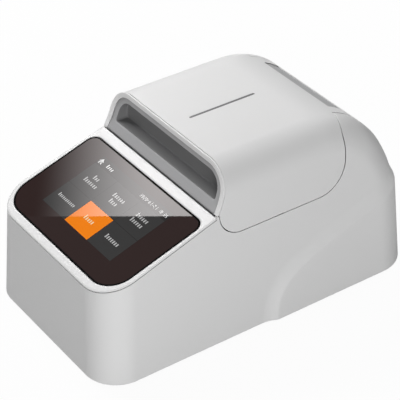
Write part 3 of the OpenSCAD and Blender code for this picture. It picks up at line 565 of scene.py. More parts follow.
COVER = moulded("cover_white", (0.72, 0.72, 0.72), 0.42)
# A lighter copy of the cover's white, used on the bezel and the hood's rim: painted light for the bezel's
# brightly lit band
PAINTED_LIGHT_WHITE = moulded("rim_white", (0.78, 0.78, 0.78), 0.3, depth=0.01)
TRIM = moulded("trim_grey", (0.4, 0.4, 0.405), 0.4)
STRIP = moulded("strip_grey", (0.15, 0.15, 0.152), 0.45)
RECESS = moulded("recess_grey", (0.18, 0.18, 0.182), 0.5)
INNER = moulded("inner_grey", (0.45, 0.46, 0.47), 0.55)
BLACK = moulded("black_plastic", (0.03, 0.03, 0.032), 0.5)
RUBBER = moulded("rubber_black", (0.025, 0.025, 0.025), 0.8, depth=0.06)
BOARD = moulded("board_green", (0.02, 0.16, 0.07), 0.4)
GEAR = moulded("gear_white", (0.7, 0.69, 0.64), 0.45)
GLASS = new_material("screen_glass", (0.003, 0.003, 0.003), 0.01, specular=0.35)
STEEL = moulded("plain_steel", (0.55, 0.56, 0.58), 0.35, grain=900.0, metallic=1.0)
BRASS = moulded("turned_brass", (0.6, 0.44, 0.18), 0.3, grain=900.0, metallic=1.0)
SCREEN = new_material("screen_picture", (0.02, 0.02, 0.02), 0.01, specular=0.35)
# Matt black ring round the glass: painted dark reflection of the glass's bevelled edge
PAINTED_EDGE_REFLECTION = new_material("painted_edge_reflection", (0.002, 0.002, 0.002), 0.6, specular=0.05)
screen_nodes = SCREEN.node_tree.nodes
shown = screen_nodes.new("ShaderNodeVertexColor")
shown.layer_name = "tone"
SCREEN.node_tree.links.new(shown.outputs["Color"], screen_nodes["Principled BSDF"].inputs["Base Color"])
LENS = new_material("lens_glass", (0.55, 0.7, 0.8), 0.02, coat=1.0)
RED_WINDOW = new_material("reader_window", (0.25, 0.01, 0.01), 0.05, coat=1.0)

SLOT_MATERIALS = {
    "cover_white": COVER, "rim_white": PAINTED_LIGHT_WHITE, "trim_grey": TRIM, "recess_grey": RECESS, "inner_grey": INNER,
    "black_plastic": BLACK, "screen_glass": GLASS, "rubber_black": RUBBER, "steel": STEEL, "brass": BRASS,
    "board": BOARD, "lens": LENS, "red_window": RED_WINDOW, "gear_white": GEAR,
}
for part in frame["record"]["subparts"]:
    solid = frame["nodes"][part["node"]]
    solid.data.materials.clear()
    solid.data.materials.append(SLOT_MATERIALS[part["material_slot"]])


# Main housing

HOUSING_ROWS = 74
INNER_ROWS = 9
REAR_COLUMNS = 40
CORNER_PIVOT_Y = 60.0
HOUSING_CENTER = np.array([0.0, 172.0, 55.0])
SEAM_DROP = (BEZEL_T + BEZEL_SEAM) / CONSOLE_COS
WEDGE_Y = HOOD_FRONT - SEAM


def console_z(y):
    """Height of the console plane at a place along the depth."""
    return CONSOLE_H + (y - CONSOLE_Y) * CONSOLE_TAN


def console_seam(distance, drop, y_end, n):
    """Right half of the line where the case's walls meet a plane below the console, from the front middle
    back to y_end: swept by angle round the front corner and then by steps along the side."""
    turn = np.radians(np.linspace(-90, -8, 400))
    dy = np.sin(turn)
    start = np.array([0.0, CORNER_PIVOT_Y, console_z(CORNER_PIVOT_Y) - drop])
    corner = cast(distance, start, start + np.stack([np.cos(turn), dy, dy * CONSOLE_TAN], axis=1))
    y = np.linspace(corner[-1, 1] + 0.5, y_end, 200)
    side = on_side(np.stack([y, console_z(y) - drop], axis=1), distance)
    return resample(np.concatenate([corner, side]), n)


def parting_angle():
    """Angle on the lid's parting circle at which it comes out of the hood beside the hinge window."""
    low, high = 110.0, 180.0
    for _ in range(30):
        middle = (low + high) / 2
        point = on_side(arc((HINGE_Y, HINGE_Z), PART_R - SEAM_SHOWN, middle, middle, 1))
        if point[0, 0] < WINDOW_HALF_W:
            low = middle
        else:
            high = middle
    return high


def base_line(n):
    """Right half of the case's bottom edge from the front middle to the rear middle."""
    middle = np.array([0.0, BODY_D / 2, 0.3])
    turn = np.radians(np.linspace(-90, 90, 2400))
    rim = cast(case_distance, middle, middle + np.stack([np.cos(turn), np.sin(turn), 0 * turn], axis=1))
    return resample(rim, n)


def upper_edge():
    """Right half of the housing's upper edge in four stretches: along the bezel seam; round the lid's seam;
    up to the hinge, up the parting circle and back along the hinge window; and across behind the window."""
    front = console_seam(case_distance, SEAM_DROP, WEDGE_Y, 160)
    ledge = HOOD_FOOT_H - SEAM - 0.1
    wedge = np.array([[WEDGE_Y, console_z(WEDGE_Y) - SEAM_DROP], [WEDGE_Y, HOOD_FOOT_H - 1.6],
                      [WEDGE_Y + 0.8, ledge], [HOOD_FRONT + 2 - SEAM, ledge]])
    front_turn = arc(LID_FRONT_C, LID_FRONT_R + SEAM_SHOWN, 180, 270, 40)
    rear_turn = arc(LID_REAR_C, LID_REAR_R + SEAM_SHOWN, 270, 360, 44)
    straight = resample(np.stack([front_turn[-1], rear_turn[0]]), 74)[1:-1]
    side = on_side(np.concatenate([resample(wedge, 14), front_turn, straight, rear_turn]))
    upright_y = HINGE_Y - PART_R + SEAM_SHOWN
    upright = np.array([[upright_y, LID_REAR_C[1]], [upright_y, HINGE_Z]])
    upright = on_side(resample(upright, 16)[1:])
    parting = arc((HINGE_Y, HINGE_Z), PART_R - SEAM_SHOWN, 180, parting_angle(), 60)[1:]
    parting = resample(on_side(parting), 40)
    y = np.linspace(parting[-1, 1], WINDOW_REAR, 26)[1:]
    window_side = on_top(np.stack([0 * y + WINDOW_HALF_W, y], axis=1))
    x = np.linspace(PANEL_HALF_W, 0, REAR_COLUMNS)
    window_rear = on_top(np.stack([x, 0 * x + WINDOW_REAR], axis=1))
    return front, side, np.concatenate([upright, parting, window_side]), window_rear


def housing_lines():
    """Right halves of the housing's upper edge and of the bottom points below it: at the same turn round the
    front corner, at the same depth along the side, evenly on round the rear corner, and at the same x behind.
    The third value goes from 0 in front to 1 behind, where the columns are straight."""
    front, side, hinge, rear = upper_edge()
    upper = np.concatenate([front, side, hinge, rear])
    base = base_line(3000)
    along = np.concatenate([[0], np.cumsum(step_lengths(base))])
    before_rear = base[:, 1] < BODY_D - REAR_R - 8
    near_base, near_along = base[before_rear], along[before_rear]
    base_turn = np.arctan2(near_base[:, 1] - CORNER_PIVOT_Y, near_base[:, 0])
    front_turn = np.arctan2(front[:, 1] - CORNER_PIVOT_Y, front[:, 0])
    front_at = np.interp(front_turn, base_turn, near_along)
    past_front = 600
    side_at = np.interp(side[:, 1], near_base[past_front:, 1], near_along[past_front:])
    corner_end = along[-1] - WINDOW_HALF_W
    hinge_steps = np.cumsum(step_lengths(np.concatenate([side[-1:], hinge])))
    hinge_at = side_at[-1] + (corner_end - side_at[-1]) * hinge_steps / hinge_steps[-1]
    x = rear[:, 0]
    at = np.maximum.accumulate(np.concatenate([front_at, side_at, hinge_at, along[-1] - x]))
    lower = np.stack([np.interp(at, along, base[:, k]) for k in range(3)], axis=1)
    lower[-len(x):, 0] = x
    share = np.concatenate([np.zeros(len(front) + len(side)), np.linspace(0, 1, len(hinge)) ** 2,
                            np.ones(len(x))])
    return upper, lower, share


def housing_rise(upper, lower):
    """Shares of the way up at which the rows lie: even steps below, beside and above the rear panel's window,
    so that two rows lie on its edges. The second value is the pair of rows."""
    even = np.linspace(0, 1, 400)[:, None]
    chord = lower * (1 - even) + upper * even
    height = cast(case_distance, HOUSING_CENTER + chord * [1.0, 0, 0], chord)[:, 2]
    low, high = np.interp(PANEL_EDGES, height, even[:, 0])
    counts = np.round(np.array([low, high - low, 1 - high]) * (HOUSING_ROWS - 1)).astype(int)
    rise = np.concatenate([np.linspace(0, low, counts[0] + 1), np.linspace(low, high, counts[1] + 1)[1:],
                           np.linspace(high, 1, counts[2] + 1)[1:]])
    return rise, (counts[0], counts[0] + counts[1])


def make_housing():
    """Skin of the case between its bottom edge and its upper edge, cast outwards from inside the case.
    Towards the rear the rays come to lie side by side, so that the columns there run straight up the wall."""
    upper, lower, share = housing_lines()
    rise, (low, high) = housing_rise(upper[-1], lower[-1])
    count = len(upper)
    right = count - REAR_COLUMNS
    left = 2 * (count - 1) - right
    upper = np.concatenate([upper, mirrored(upper)])
    lower = np.concatenate([lower, mirrored(lower)])
    share = np.concatenate([share, share[count - 2::-1]])[:len(upper)]
    rise_rows = rise[:, None, None]
    chords = lower * (1 - rise_rows) + upper * rise_rows
    start = HOUSING_CENTER + chords * share[:, None] * np.array([1.0, 0, 0])
    outer = cast(case_distance, start, chords)
    outer[0, :, 2] = np.maximum(outer[0, :, 2], 0.0)
    outward = case_normals(outer)
    spread = np.linspace(0, len(rise) - 1, INNER_ROWS).astype(int)
    keep = np.unique(np.concatenate([spread[(spread < low) | (spread > high)], [low, high]]))[::-1]
    window = (low, high, right, left)
    piece = loop_shell("housing_skin", outer, outward, WALL, EDGE_R, keep, window, "case", COVER)
    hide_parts("main_housing")


# Lid

LID_SIDE_ROWS = 120
LID_TOP_HALF = 48
TONGUE_COLUMNS = 9
STRIP_START = (HOOD_BROW[0] + REAR_C[0] - STRIP_LEN) / 2 + 4


def lid_edges():
    """Front and rear edges of the lid from the right bottom edge over the top: matching points of both."""
    back_r = RIM_CURVE_R + RIM_T + SEAM
    foot = math.degrees(math.asin((HOOD_FOOT_H - RIM_C[1]) / back_r))
    top = math.degrees(math.asin((HOOD_H - 0.02 - RIM_C[1]) / back_r))
    front = np.concatenate([arc(LID_FRONT_C, LID_FRONT_R, 270, 180, 40), arc(RIM_C, back_r, foot, top, 160)])
    rear = np.concatenate([arc(LID_REAR_C, LID_REAR_R, 270, 360, 40),
                           arc((HINGE_Y, HINGE_Z), PART_R, 180, 128, 160)])
    return resample(on_side(front), 900), resample(on_side(rear), 900)


def reach_line(x, radius):
    """Places (x, y) on the hood's top at a given radius from the hinge axis, in front of it."""
    low, high = np.full(len(x), HINGE_Y - 30), np.full(len(x), HINGE_Y)
    for _ in range(30):
        middle = (low + high) / 2
        point = on_top(np.stack([x, middle], axis=1))
        far_enough = np.hypot(point[:, 1] - HINGE_Y, point[:, 2] - HINGE_Z) > radius
        low = np.where(far_enough, middle, low)
        high = np.where(far_enough, high, middle)
    return on_top(np.stack([x, low], axis=1))


def lid_grid():
    """Right half of the lid's front and rear edges as matching points, from the bottom edge up the side and
    over to the middle, with the end of the hinge tongue. On the side, matching points have the same share of
    each edge; on top, they have the same x."""
    front, rear = lid_edges()
    top_x = WINDOW_HALF_W + 1.5
    front_low = resample(front[front[:, 0] > top_x], LID_SIDE_ROWS)
    rear_low = resample(rear[rear[:, 0] > top_x], LID_SIDE_ROWS)
    tongue_half = WINDOW_HALF_W - 2 * SEAM
    x = np.concatenate([[WINDOW_HALF_W], np.linspace(tongue_half, 3, LID_TOP_HALF),
                        [2.0, STRIP_W / 2 + 0.3, STRIP_W / 2 + 0.05, STRIP_W / 2 - 0.2, 0.0]])
    front_y = np.interp(-x, -front[:, 0], front[:, 1])
    front_y[x < tongue_half - 2] = front[-1, 1]
    front_top = on_top(np.stack([x, front_y], axis=1))
    first_tongue = LID_SIDE_ROWS + 1
    return (np.concatenate([front_low, front_top]), np.concatenate([rear_low, reach_line(x, PART_R)]),
            np.concatenate([rear_low, reach_line(x, TONGUE_R)]), first_tongue)


def make_lid():
    """Hood shell from the rim to the hinge: straight chords between matching edge points, each pushed out
    from the middle plane of the case at its own depth. A shallow groove takes the strip in its top."""
    front, rear, tip_line, first = lid_grid()
    front, rear, tip_line = (np.concatenate([k, mirrored(k)]) for k in (front, rear, tip_line))
    middle = len(front) // 2
    span = rear[middle, 1] - front[middle, 1]
    strip_a = (STRIP_START - STRIP_W - front[middle, 1]) / span
    strip_b = (STRIP_START + STRIP_LEN + STRIP_W - front[middle, 1]) / span
    tip = 2 * STRIP_W / span
    share = np.concatenate([np.linspace(0, strip_a, 14), np.linspace(strip_a, strip_a + tip, 14)[1:],
                            np.linspace(strip_a + tip, strip_b - tip, 40)[1:],
                            np.linspace(strip_b - tip, strip_b, 14)[1:], np.linspace(strip_b, 1, 30)[1:]])
    main = len(share)
    share = share[None, :, None]
    chords = front[:, None, :] * (1 - share) + rear[:, None, :] * share
    onward = np.linspace(0, 1, TONGUE_COLUMNS)[None, 1:, None]
    chords = np.concatenate([chords, rear[:, None, :] * (1 - onward) + tip_line[:, None, :] * onward], axis=1)
    start = chords * np.array([0.0, 1, 0]) + np.array([0, 0, 100.0])
    outer = cast(case_distance, start, chords)
    outward = case_normals(outer)
    y_mid, half = STRIP_START + STRIP_LEN / 2, STRIP_LEN / 2
    aside = np.hypot(outer[..., 0], np.maximum(np.abs(outer[..., 1] - y_mid) - half, 0))
    groove = np.clip((STRIP_W / 2 + GROOVE_EDGE_W - aside) / GROOVE_EDGE_W, 0, 1)
    groove = np.where(outer[..., 2] > HOOD_H - 3, groove, 0)
    outer[..., 2] -= GROOVE_DEPTH * groove
    tongue = (first, len(front) - 1 - first)
    piece = patch_shell("lid_skin", outer, outward, WALL, EDGE_R, main, tongue, "lid", COVER)
    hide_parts("lid_shell")


def make_strip():
    """Grey bar in the groove of the lid: sections across it, with a slightly domed face, carried along it.
    The sections narrow as the cosine towards the two round ends."""
    r = STRIP_W / 2 - 0.05
    turn = np.radians(np.linspace(-86, 0, 14))
    y = np.concatenate([STRIP_START + r * np.sin(turn), STRIP_START + STRIP_LEN - r * np.sin(turn[::-1])])
    half_w = r * np.cos(np.concatenate([turn, turn[::-1]]))
    face = np.linspace(1, -1, 11)
    across = np.concatenate([face, [-1, 1]])
    height = np.concatenate([HOOD_H - 0.3 - 0.12 * face ** 2, [HOOD_H - 1.4, HOOD_H - 1.4]])
    grid = np.stack(np.broadcast_arrays(half_w[:, None] * across, y[:, None], height), axis=-1)
    faces = tube_faces(len(y), len(across))
    piece = add_piece("lid_strip_bar", grid.reshape(-1, 3), faces, "lid", STRIP)
    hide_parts("lid_strip")


# Rim, recess frame and pocket

def rim_depth(z, r):
    """Place along the depth of the hollow front face of the hood, or of a face behind it, at radius r."""
    return RIM_C[0] + np.sqrt(r * r - (z - RIM_C[1]) ** 2)


def arch(inset, n_side, n_arc, n_top, foot):
    """Right half of the hood's arch in front view, set in from its outside: wall, shoulder arc and top."""
    center_z = HOOD_H - SHOULDER_R
    draft = math.atan(SIDE_TAN)
    center_x = HALF_W - center_z * SIDE_TAN - SHOULDER_R / math.cos(draft)
    turn = np.linspace(draft, math.pi / 2, n_arc)
    shoulder = np.stack([center_x + (SHOULDER_R - inset) * np.cos(turn),
                         center_z + (SHOULDER_R - inset) * np.sin(turn)], axis=1)
    low = np.array([shoulder[0, 0] + (shoulder[0, 1] - foot) * SIDE_TAN, foot])
    side = low + (shoulder[0] - low) * np.linspace(0, 1, n_side)[:-1, None]
    top = np.stack([np.linspace(center_x, 0, n_top)[1:], np.full(n_top - 1, HOOD_H - inset)], axis=1)
    return np.concatenate([side, shoulder, top])


def rounded_profile(width, depth, r, n):
    """Closed outline of a bar's section, anticlockwise, with its four corners rounded to radius r."""
    turn = np.linspace(0, math.pi / 2, n)
    quarter = np.stack([np.cos(turn), np.sin(turn)], axis=1) * r
    spin = [quarter, quarter[:, ::-1] * [-1, 1], -quarter, quarter[:, ::-1] * [1, -1]]
    middle = [(width - r, depth - r), (r, depth - r), (r, r), (width - r, r)]
    return np.concatenate([s + m for s, m in zip(spin, middle)])


def make_rim():
    """Band round the front of the hood: a rounded section carried round the arch. The section's width runs
    inwards from the hood's outside and its depth runs back from the hollow front face."""
    section = rounded_profile(RIM_W, RIM_T, EDGE_R, 6)
    rows = []
    for inset, depth in section:
        line = arch(inset + 0.05, 40, 60, 50, HOOD_FOOT_H + 0.1)
        y = rim_depth(line[:, 1], RIM_CURVE_R + depth)
        rows.append(np.stack([line[:, 0], y, line[:, 1]], axis=1))
    half = np.stack(rows, axis=1)
    ring = np.concatenate([half, half[-2::-1] * np.array([-1.0, 1, 1])])
    faces = tube_faces(ring.shape[0], ring.shape[1])
    piece = add_piece("hood_rim", ring.reshape(-1, 3), faces, "lid", PAINTED_LIGHT_WHITE)
    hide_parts("lid_rim")


FRAME_ARCH = 360
FRAME_FOOT = 120
SOFT_TURN = np.radians([22, 45, 67, 90])


def arch_ring(half):
    """Closed outline in front view from the right half of an arch: the arch and the straight line under
    it."""
    over = resample(np.concatenate([half, half[-2::-1] * [-1, 1]]), FRAME_ARCH)
    under = over[-1] + (over[0] - over[-1]) * np.linspace(0, 1, FRAME_FOOT + 1)[1:-1, None]
    return np.concatenate([over, under])


def recess_line(grow):
    """Closed outline of the recess in front view: the hood's arch set in by the rim and the lip, with small
    round corners at the bottom."""
    foot = RECESS_FLOOR_H - grow
    r = RECESS_CORNER_R
    half = arch(RIM_W + LIP_W - grow, 30, 50, 40, foot + r)
    corner = arc((half[0, 0] - r, foot + r), r, -90, 0, 16)[:-1]
    return arch_ring(np.concatenate([corner, half]))


def in_depth(line, y):
    """Front view points with their depth."""
    return np.stack([line[:, 0], y, line[:, 1]], axis=1)


def lip_radius(z):
    """Radius of the lip's face about the hood's front centre: nearly flush with the rim at its foot, and set
    back by the full step from the recess floor up."""
    rise = np.clip((z - HOOD_FOOT_H) / (RECESS_FLOOR_H - HOOD_FOOT_H), 0, 1)
    return RIM_CURVE_R + LIP_STEP * (0.25 + 0.75 * rise)


def make_lip():
    """Grey lip as a closed ring of rows: from the rim's back to the hollow face, along it and round a small
    edge."""
    inner = recess_line(LIP_EDGE_R)
    outer = arch_ring(arch(RIM_W + 0.1, 40, 60, 50, HOOD_FOOT_H - 0.3))
    rows = [in_depth(outer, rim_depth(outer[:, 1], RIM_CURVE_R + LIP_STEP + WALL))]
    for share in np.linspace(0, 1, 6):
        line = outer + (inner - outer) * share
        rows.append(in_depth(line, rim_depth(line[:, 1], lip_radius(line[:, 1]))))
    for turn in SOFT_TURN:
        line = recess_line(LIP_EDGE_R * (1 - math.sin(turn)))
        depth = lip_radius(line[:, 1]) + LIP_EDGE_R * (1 - math.cos(turn))
        rows.append(in_depth(line, rim_depth(line[:, 1], depth)))
    grid = np.stack(rows)
    faces = grid_faces(len(grid), grid.shape[1], closed_columns=True, closed_rows=True).tolist()
    piece = add_piece("recess_lip", grid.reshape(-1, 3), faces, "lid", TRIM)
    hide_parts("pocket_frame")


def pocket_rows(grow, back, corner_r):
    """Rows from the lip along the pocket's wall, round the corner of its back and in to the middle."""
    centre = np.array([0.0, (RECESS_FLOOR_H + HOOD_H - RIM_W - LIP_W) / 2])
    wall = recess_line(grow)
    front = rim_depth(wall[:, 1], lip_radius(wall[:, 1]) + LIP_EDGE_R + 0.05)
    rows = [in_depth(wall, front + (back - corner_r - front) * k) for k in np.linspace(0, 1, 8)]
    for turn in SOFT_TURN:
        line = recess_line(grow - corner_r * (1 - math.cos(turn)))
        rows.append(in_depth(line, 0 * front + back - corner_r * (1 - math.sin(turn))))
    for share in (0.7, 0.35, 0.02):
        rows.append(in_depth(centre + (line - centre) * share, 0 * front + back))
    return np.stack(rows)


def make_pocket():
    """Dark pocket behind the lip: its inner rows from the middle of the back to the lip, and its outer rows
    from there back again."""
    tub = pocket_rows(0.0, RECESS_BACK, POCKET_CORNER_R)
    shell = pocket_rows(POCKET_WALL, RECESS_BACK + POCKET_WALL, POCKET_OUTER_R)
    both = np.concatenate([tub[::-1], shell])
    faces = grid_faces(len(both), both.shape[1], closed_columns=True).tolist()
    piece = add_piece("recess_pocket", both.reshape(-1, 3), faces, "lid", RECESS)
    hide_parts("handle_pocket")


# Screen

def on_console(plan):
    """Points (x, up the slope, out of the plane) to the case's own axes."""
    x, s, out = plan[..., 0], plan[..., 1], plan[..., 2]
    y = CONSOLE_Y + s * CONSOLE_COS - out * CONSOLE_SIN
    z = CONSOLE_H + s * CONSOLE_SIN + out * CONSOLE_COS
    return np.stack([x, y, z], axis=-1)


def glass_line(inset, n):
    """Closed outline of the glass on the console plane, anticlockwise from the front middle."""
    hw = GLASS_W / 2 - inset
    low, high = GLASS_MARGIN + inset, GLASS_MARGIN + GLASS_L - inset
    front_r, top_r = GLASS_FRONT_R - inset, GLASS_TOP_R - inset
    line = np.concatenate([[[0, low]], arc((hw - front_r, low + front_r), front_r, -90, 0, 80),
                           arc((hw - top_r, high - top_r), top_r, 0, 90, 60),
                           arc((-hw + top_r, high - top_r), top_r, 90, 180, 60),
                           arc((-hw + front_r, low + front_r), front_r, 180, 270, 80), [[0, low]]])
    return resample(line, n + 1)[:-1]


BEZEL_COLUMNS = 720
GLASS_COLUMNS = 480
BEZEL_END = HOOD_FRONT - 1.5 * SEAM


def bezel_lines():
    """Closed outer edge of the bezel at its seam: round the front and the sides, and straight along the top
    end."""
    half = console_seam(bezel_distance, BEZEL_T / CONSOLE_COS, BEZEL_END, 700)
    x = np.linspace(half[-1, 0], 0, 120)[1:]
    end = np.stack([x, 0 * x + BEZEL_END, 0 * x + half[-1, 2]], axis=1)
    right = np.concatenate([half, end])
    line = np.concatenate([right, mirrored(right), right[:1]])
    return resample(line, BEZEL_COLUMNS + 1)[:-1]


def raised(plan, out):
    """Points of the console plane's own axes at one height above it, in the case's axes."""
    return on_console(np.concatenate([plan, np.full((len(plan), 1), out)], axis=1))


def make_bezel():
    """White surround of the glass: up its outer wall, over the rounded edge, along its face and down beside
    the glass. The rounded edge is cast from inside the case, and at the top end it is square. Points of the
    glass's outline are matched to the seam's by their turn round the glass's middle."""
    seam_line = bezel_lines()
    glass = glass_line(-0.25, 4 * BEZEL_COLUMNS)
    hub = np.array([0.0, GLASS_MARGIN + GLASS_L / 2])
    seam_s = (seam_line[:, 1] - CONSOLE_Y) / CONSOLE_COS - hub[1]
    glass_turn = np.unwrap(np.arctan2(glass[:, 1] - hub[1], glass[:, 0]))
    seam_turn = np.unwrap(np.arctan2(seam_s, seam_line[:, 0]))
    seam_turn += 2 * math.pi * round((glass_turn[0] - seam_turn[0]) / (2 * math.pi))
    order = np.argsort(glass_turn)
    inner = np.stack([np.interp(seam_turn, glass_turn[order], glass[order, k], period=2 * math.pi)
                      for k in range(2)], axis=1)
    brim = raised(inner, 0.0)
    edge = raised(inner, -0.25)
    below = raised(inner, -BEZEL_T)
    wall_top = seam_line + np.array([0, 0, 1.0]) * BEZEL_T / CONSOLE_COS
    share = np.linspace(0.12, 1, 14)[:, None, None]
    rise = np.minimum(share * 2, 1.0)
    slide = np.maximum(share * 2 - 1, 0.0)
    over = seam_line + (wall_top - seam_line) * rise + (brim - wall_top) * slide
    chords = np.concatenate([seam_line[None], over])
    core = below * 0.6 + seam_line * 0.4 - np.array([0, 0, 2.0])
    surface = cast(bezel_distance, core, chords)
    at_top_end = seam_line[:, 1] > BEZEL_END - 0.01
    surface = np.where(at_top_end[None, :, None], chords, surface)
    surface[-1] = brim
    lip = brim * 0.97 + edge * 0.03
    points = np.concatenate([surface, lip[None], edge[None], below[None]])
    faces = grid_faces(len(points), BEZEL_COLUMNS, closed_rows=True, closed_columns=True).tolist()
    # The bezel takes the lighter white: painted light for its bright band
    piece = add_piece("bezel_skin", points.reshape(-1, 3), faces, "case", PAINTED_LIGHT_WHITE)
    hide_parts("screen_bezel")


def glass_rings(profile):
    """Outlines of the glass, one for each pair of inset and height above the console plane."""
    return np.stack([raised(glass_line(inset, GLASS_COLUMNS), out) for inset, out in profile])


def make_glass():
    """Cover glass: its outline with a rounded upper edge, closed across the top and the bottom."""
    rings = glass_rings([(0.0, -GLASS_T), (0.0, -0.5), (0.03, -0.35), (0.12, -0.2), (0.3, -0.12),
                         (0.5, SCREEN_OUT)])
    faces = tube_faces(len(rings), GLASS_COLUMNS)
    piece = add_piece("cover_glass", rings.reshape(-1, 3), faces, "case", GLASS)
    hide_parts("touch_glass")


# Sizes of the display, in millimetres, and its tones
SCREEN_OUT = -0.1
SCREEN_EDGE_W = 1.7
LAYER_STEP = 0.012
TILE_W = 35.6
TILE_L = 28.6
TILE_GAP = 0.5
TILES_LOW = 29.6
TILES_MIDDLE = 0.5
TILES_LEFT = TILES_MIDDLE - 1.5 * TILE_W
TILES_RIGHT = TILES_LEFT + 3 * TILE_W
TILES_HEAD = TILES_LOW + 2 * TILE_L
HEADER_L = 9.5
LINE_STEP = 6.4
LETTER_H = 3.5
SMALL_LETTER_H = 2.9
HEADER_H = 3.2
CLOCK_LEN = 41.5
CLOCK_STEP = 2.5
SURROUND_TONE = (0.034, 0.021, 0.02)
FIELD_TONE = (0.030, 0.028, 0.028)
TILE_TONE = (0.045, 0.044, 0.044)
PICKED_TONE = (0.94, 0.235, 0.008)
TILE_INK = (0.5, 0.5, 0.5)
PICKED_INK = (0.93, 0.72, 0.45)
WHITE_INK = (0.78, 0.78, 0.78)

# How many blocks stand in each line of each tile, front row first
TILE_LINES = [[[11], [5], [7]], [[3, 7], [6, 4], [6, 6]]]
PICKED_TILE = (0, 1)

# Bars of the figures used, counted clockwise from the top, with the middle one last
SEVEN_BARS = {"0": (0, 1, 2, 3, 4, 5), "1": (1, 2), "2": (0, 1, 6, 4, 3), "5": (0, 5, 6, 2, 3), "-": (6,)}
CLOCK = "2020-01-01 10 25"


def box_shape(x0, s0, x1, s1):
    """Corners of a level rectangle on the screen."""
    return np.array([[x0, s0], [x1, s0], [x1, s1], [x0, s1]])


def digit_shapes(x, s, h, lit):
    """Bars of a seven-bar figure of height h: lit names them top, upper right, and so on clockwise to the
    middle."""
    w, t = h * 0.52, h * 0.14
    bars = [box_shape(x, s + h - t, x + w, s + h), box_shape(x + w - t, s + h / 2, x + w, s + h),
            box_shape(x + w - t, s, x + w, s + h / 2), box_shape(x, s, x + w, s + t),
            box_shape(x, s, x + t, s + h / 2), box_shape(x, s + h / 2, x + t, s + h),
            box_shape(x, s + h / 2 - t / 2, x + w, s + h / 2 + t / 2)]
    return [bars[k] for k in lit]


def word_shapes(x, s, letters, h):
    """A word as a centred row of upright blocks, the first one taller."""
    w, pitch = h * 0.4, h * 0.78
    first = x - (letters * pitch - (pitch - w)) / 2
    tall = [0.8] + [0.42] * (letters - 1)
    return [box_shape(first + k * pitch, s - h / 2, first + k * pitch + w, s + h * tall[k])
            for k in range(letters)]


def tile_shapes(row, column):
    """One tile and the lines of blocks centred on it, each as an outline, a layer and a tone."""
    x = TILES_MIDDLE + (column - 1) * TILE_W
    s = TILES_LOW + (row + 0.5) * TILE_L
    picked = (row, column) == PICKED_TILE
    dx, ds = TILE_W / 2 - TILE_GAP / 2, TILE_L / 2 - TILE_GAP / 2
    shapes = [(box_shape(x - dx, s - ds, x + dx, s + ds), 2, PICKED_TONE if picked else TILE_TONE)]
    lines = TILE_LINES[row][column]
    for k, letters in enumerate(lines):
        drop = (k - (len(lines) - 1) / 2) * LINE_STEP
        height = SMALL_LETTER_H if letters > 8 else LETTER_H
        blocks = word_shapes(x, s - drop, letters, height)
        shapes.extend((block, 3, PICKED_INK if picked else TILE_INK) for block in blocks)
    return shapes


def header_shapes():
    """Outlines above the tiles: a house as a roof over two posts and a lintel, a word and a clock."""
    x, s = TILES_LEFT + 3.6, TILES_HEAD + 4.2
    outlines = [np.array([[x - 3.2, s], [x + 3.2, s], [x, s + 3.2]]),
                box_shape(x - 2.2, s - 2.6, x - 0.7, s + 0.2),
                box_shape(x + 0.7, s - 2.6, x + 2.2, s + 0.2),
                box_shape(x - 2.2, s - 0.9, x + 2.2, s + 0.2)]
    outlines += word_shapes(x + 13.5, s, 4, HEADER_H)
    for k, mark in enumerate(CLOCK):
        place = TILES_RIGHT - CLOCK_LEN + CLOCK_STEP * k
        outlines += digit_shapes(place, TILES_HEAD + 2.6, HEADER_H, SEVEN_BARS.get(mark, ()))
    return outlines


def make_screen_picture():
    """Picture shown through the glass as flat coloured shapes just above it, in layers: the painted surround,
    the lit field, six tiles of which one is picked out in orange, blocks in place of words, a house and a
    clock."""
    shapes = [(glass_line(SCREEN_EDGE_W, 360), 0, SURROUND_TONE),
              (box_shape(TILES_LEFT, TILES_LOW, TILES_RIGHT, TILES_HEAD + HEADER_L), 1, FIELD_TONE)]
    for row in (0, 1):
        for column in (0, 1, 2):
            shapes += tile_shapes(row, column)
    shapes += [(outline, 3, WHITE_INK) for outline in header_shapes()]
    outlines, layers, tones = zip(*shapes)
    sizes = [len(outline) for outline in outlines]
    height = SCREEN_OUT + LAYER_STEP + LAYER_STEP * np.repeat(layers, sizes)
    points = on_console(np.column_stack([np.concatenate(outlines), height]))
    faces = [face.tolist() for face in np.split(np.arange(len(points)), np.cumsum(sizes)[:-1])]
    piece = add_piece("screen_picture", points, faces, "case", SCREEN)
    paint = piece.data.color_attributes.new("tone", "FLOAT_COLOR", "POINT")
    colours = np.repeat(np.column_stack([tones, np.ones(len(tones))]), sizes, axis=0)
    paint.data.foreach_set("color", colours.reshape(-1))


def make_painted_edge_reflection():
    """Painted dark reflection round the glass: a matt black flat ring between two outlines of the glass, just
    above it, in place of the dark that the glass's bevelled edge reflects.
    """
    rings = glass_rings([(0.35, SCREEN_OUT - 0.02), (0.5, SCREEN_OUT + 0.02),
                         (SCREEN_EDGE_W, SCREEN_OUT + 0.02), (SCREEN_EDGE_W, SCREEN_OUT)])
    faces = grid_faces(len(rings), GLASS_COLUMNS, closed_columns=True).tolist()
    # The ring is painted dark reflection, not print
    piece = add_piece("painted_edge_reflection", rings.reshape(-1, 3), faces, "case", PAINTED_EDGE_REFLECTION)


make_housing()
make_lid()
make_strip()
make_rim()
make_lip()
make_pocket()
make_bezel()
make_glass()
make_screen_picture()
make_painted_edge_reflection()


# Studio: floor, background, camera, reflected card and lamps, in metres and watts

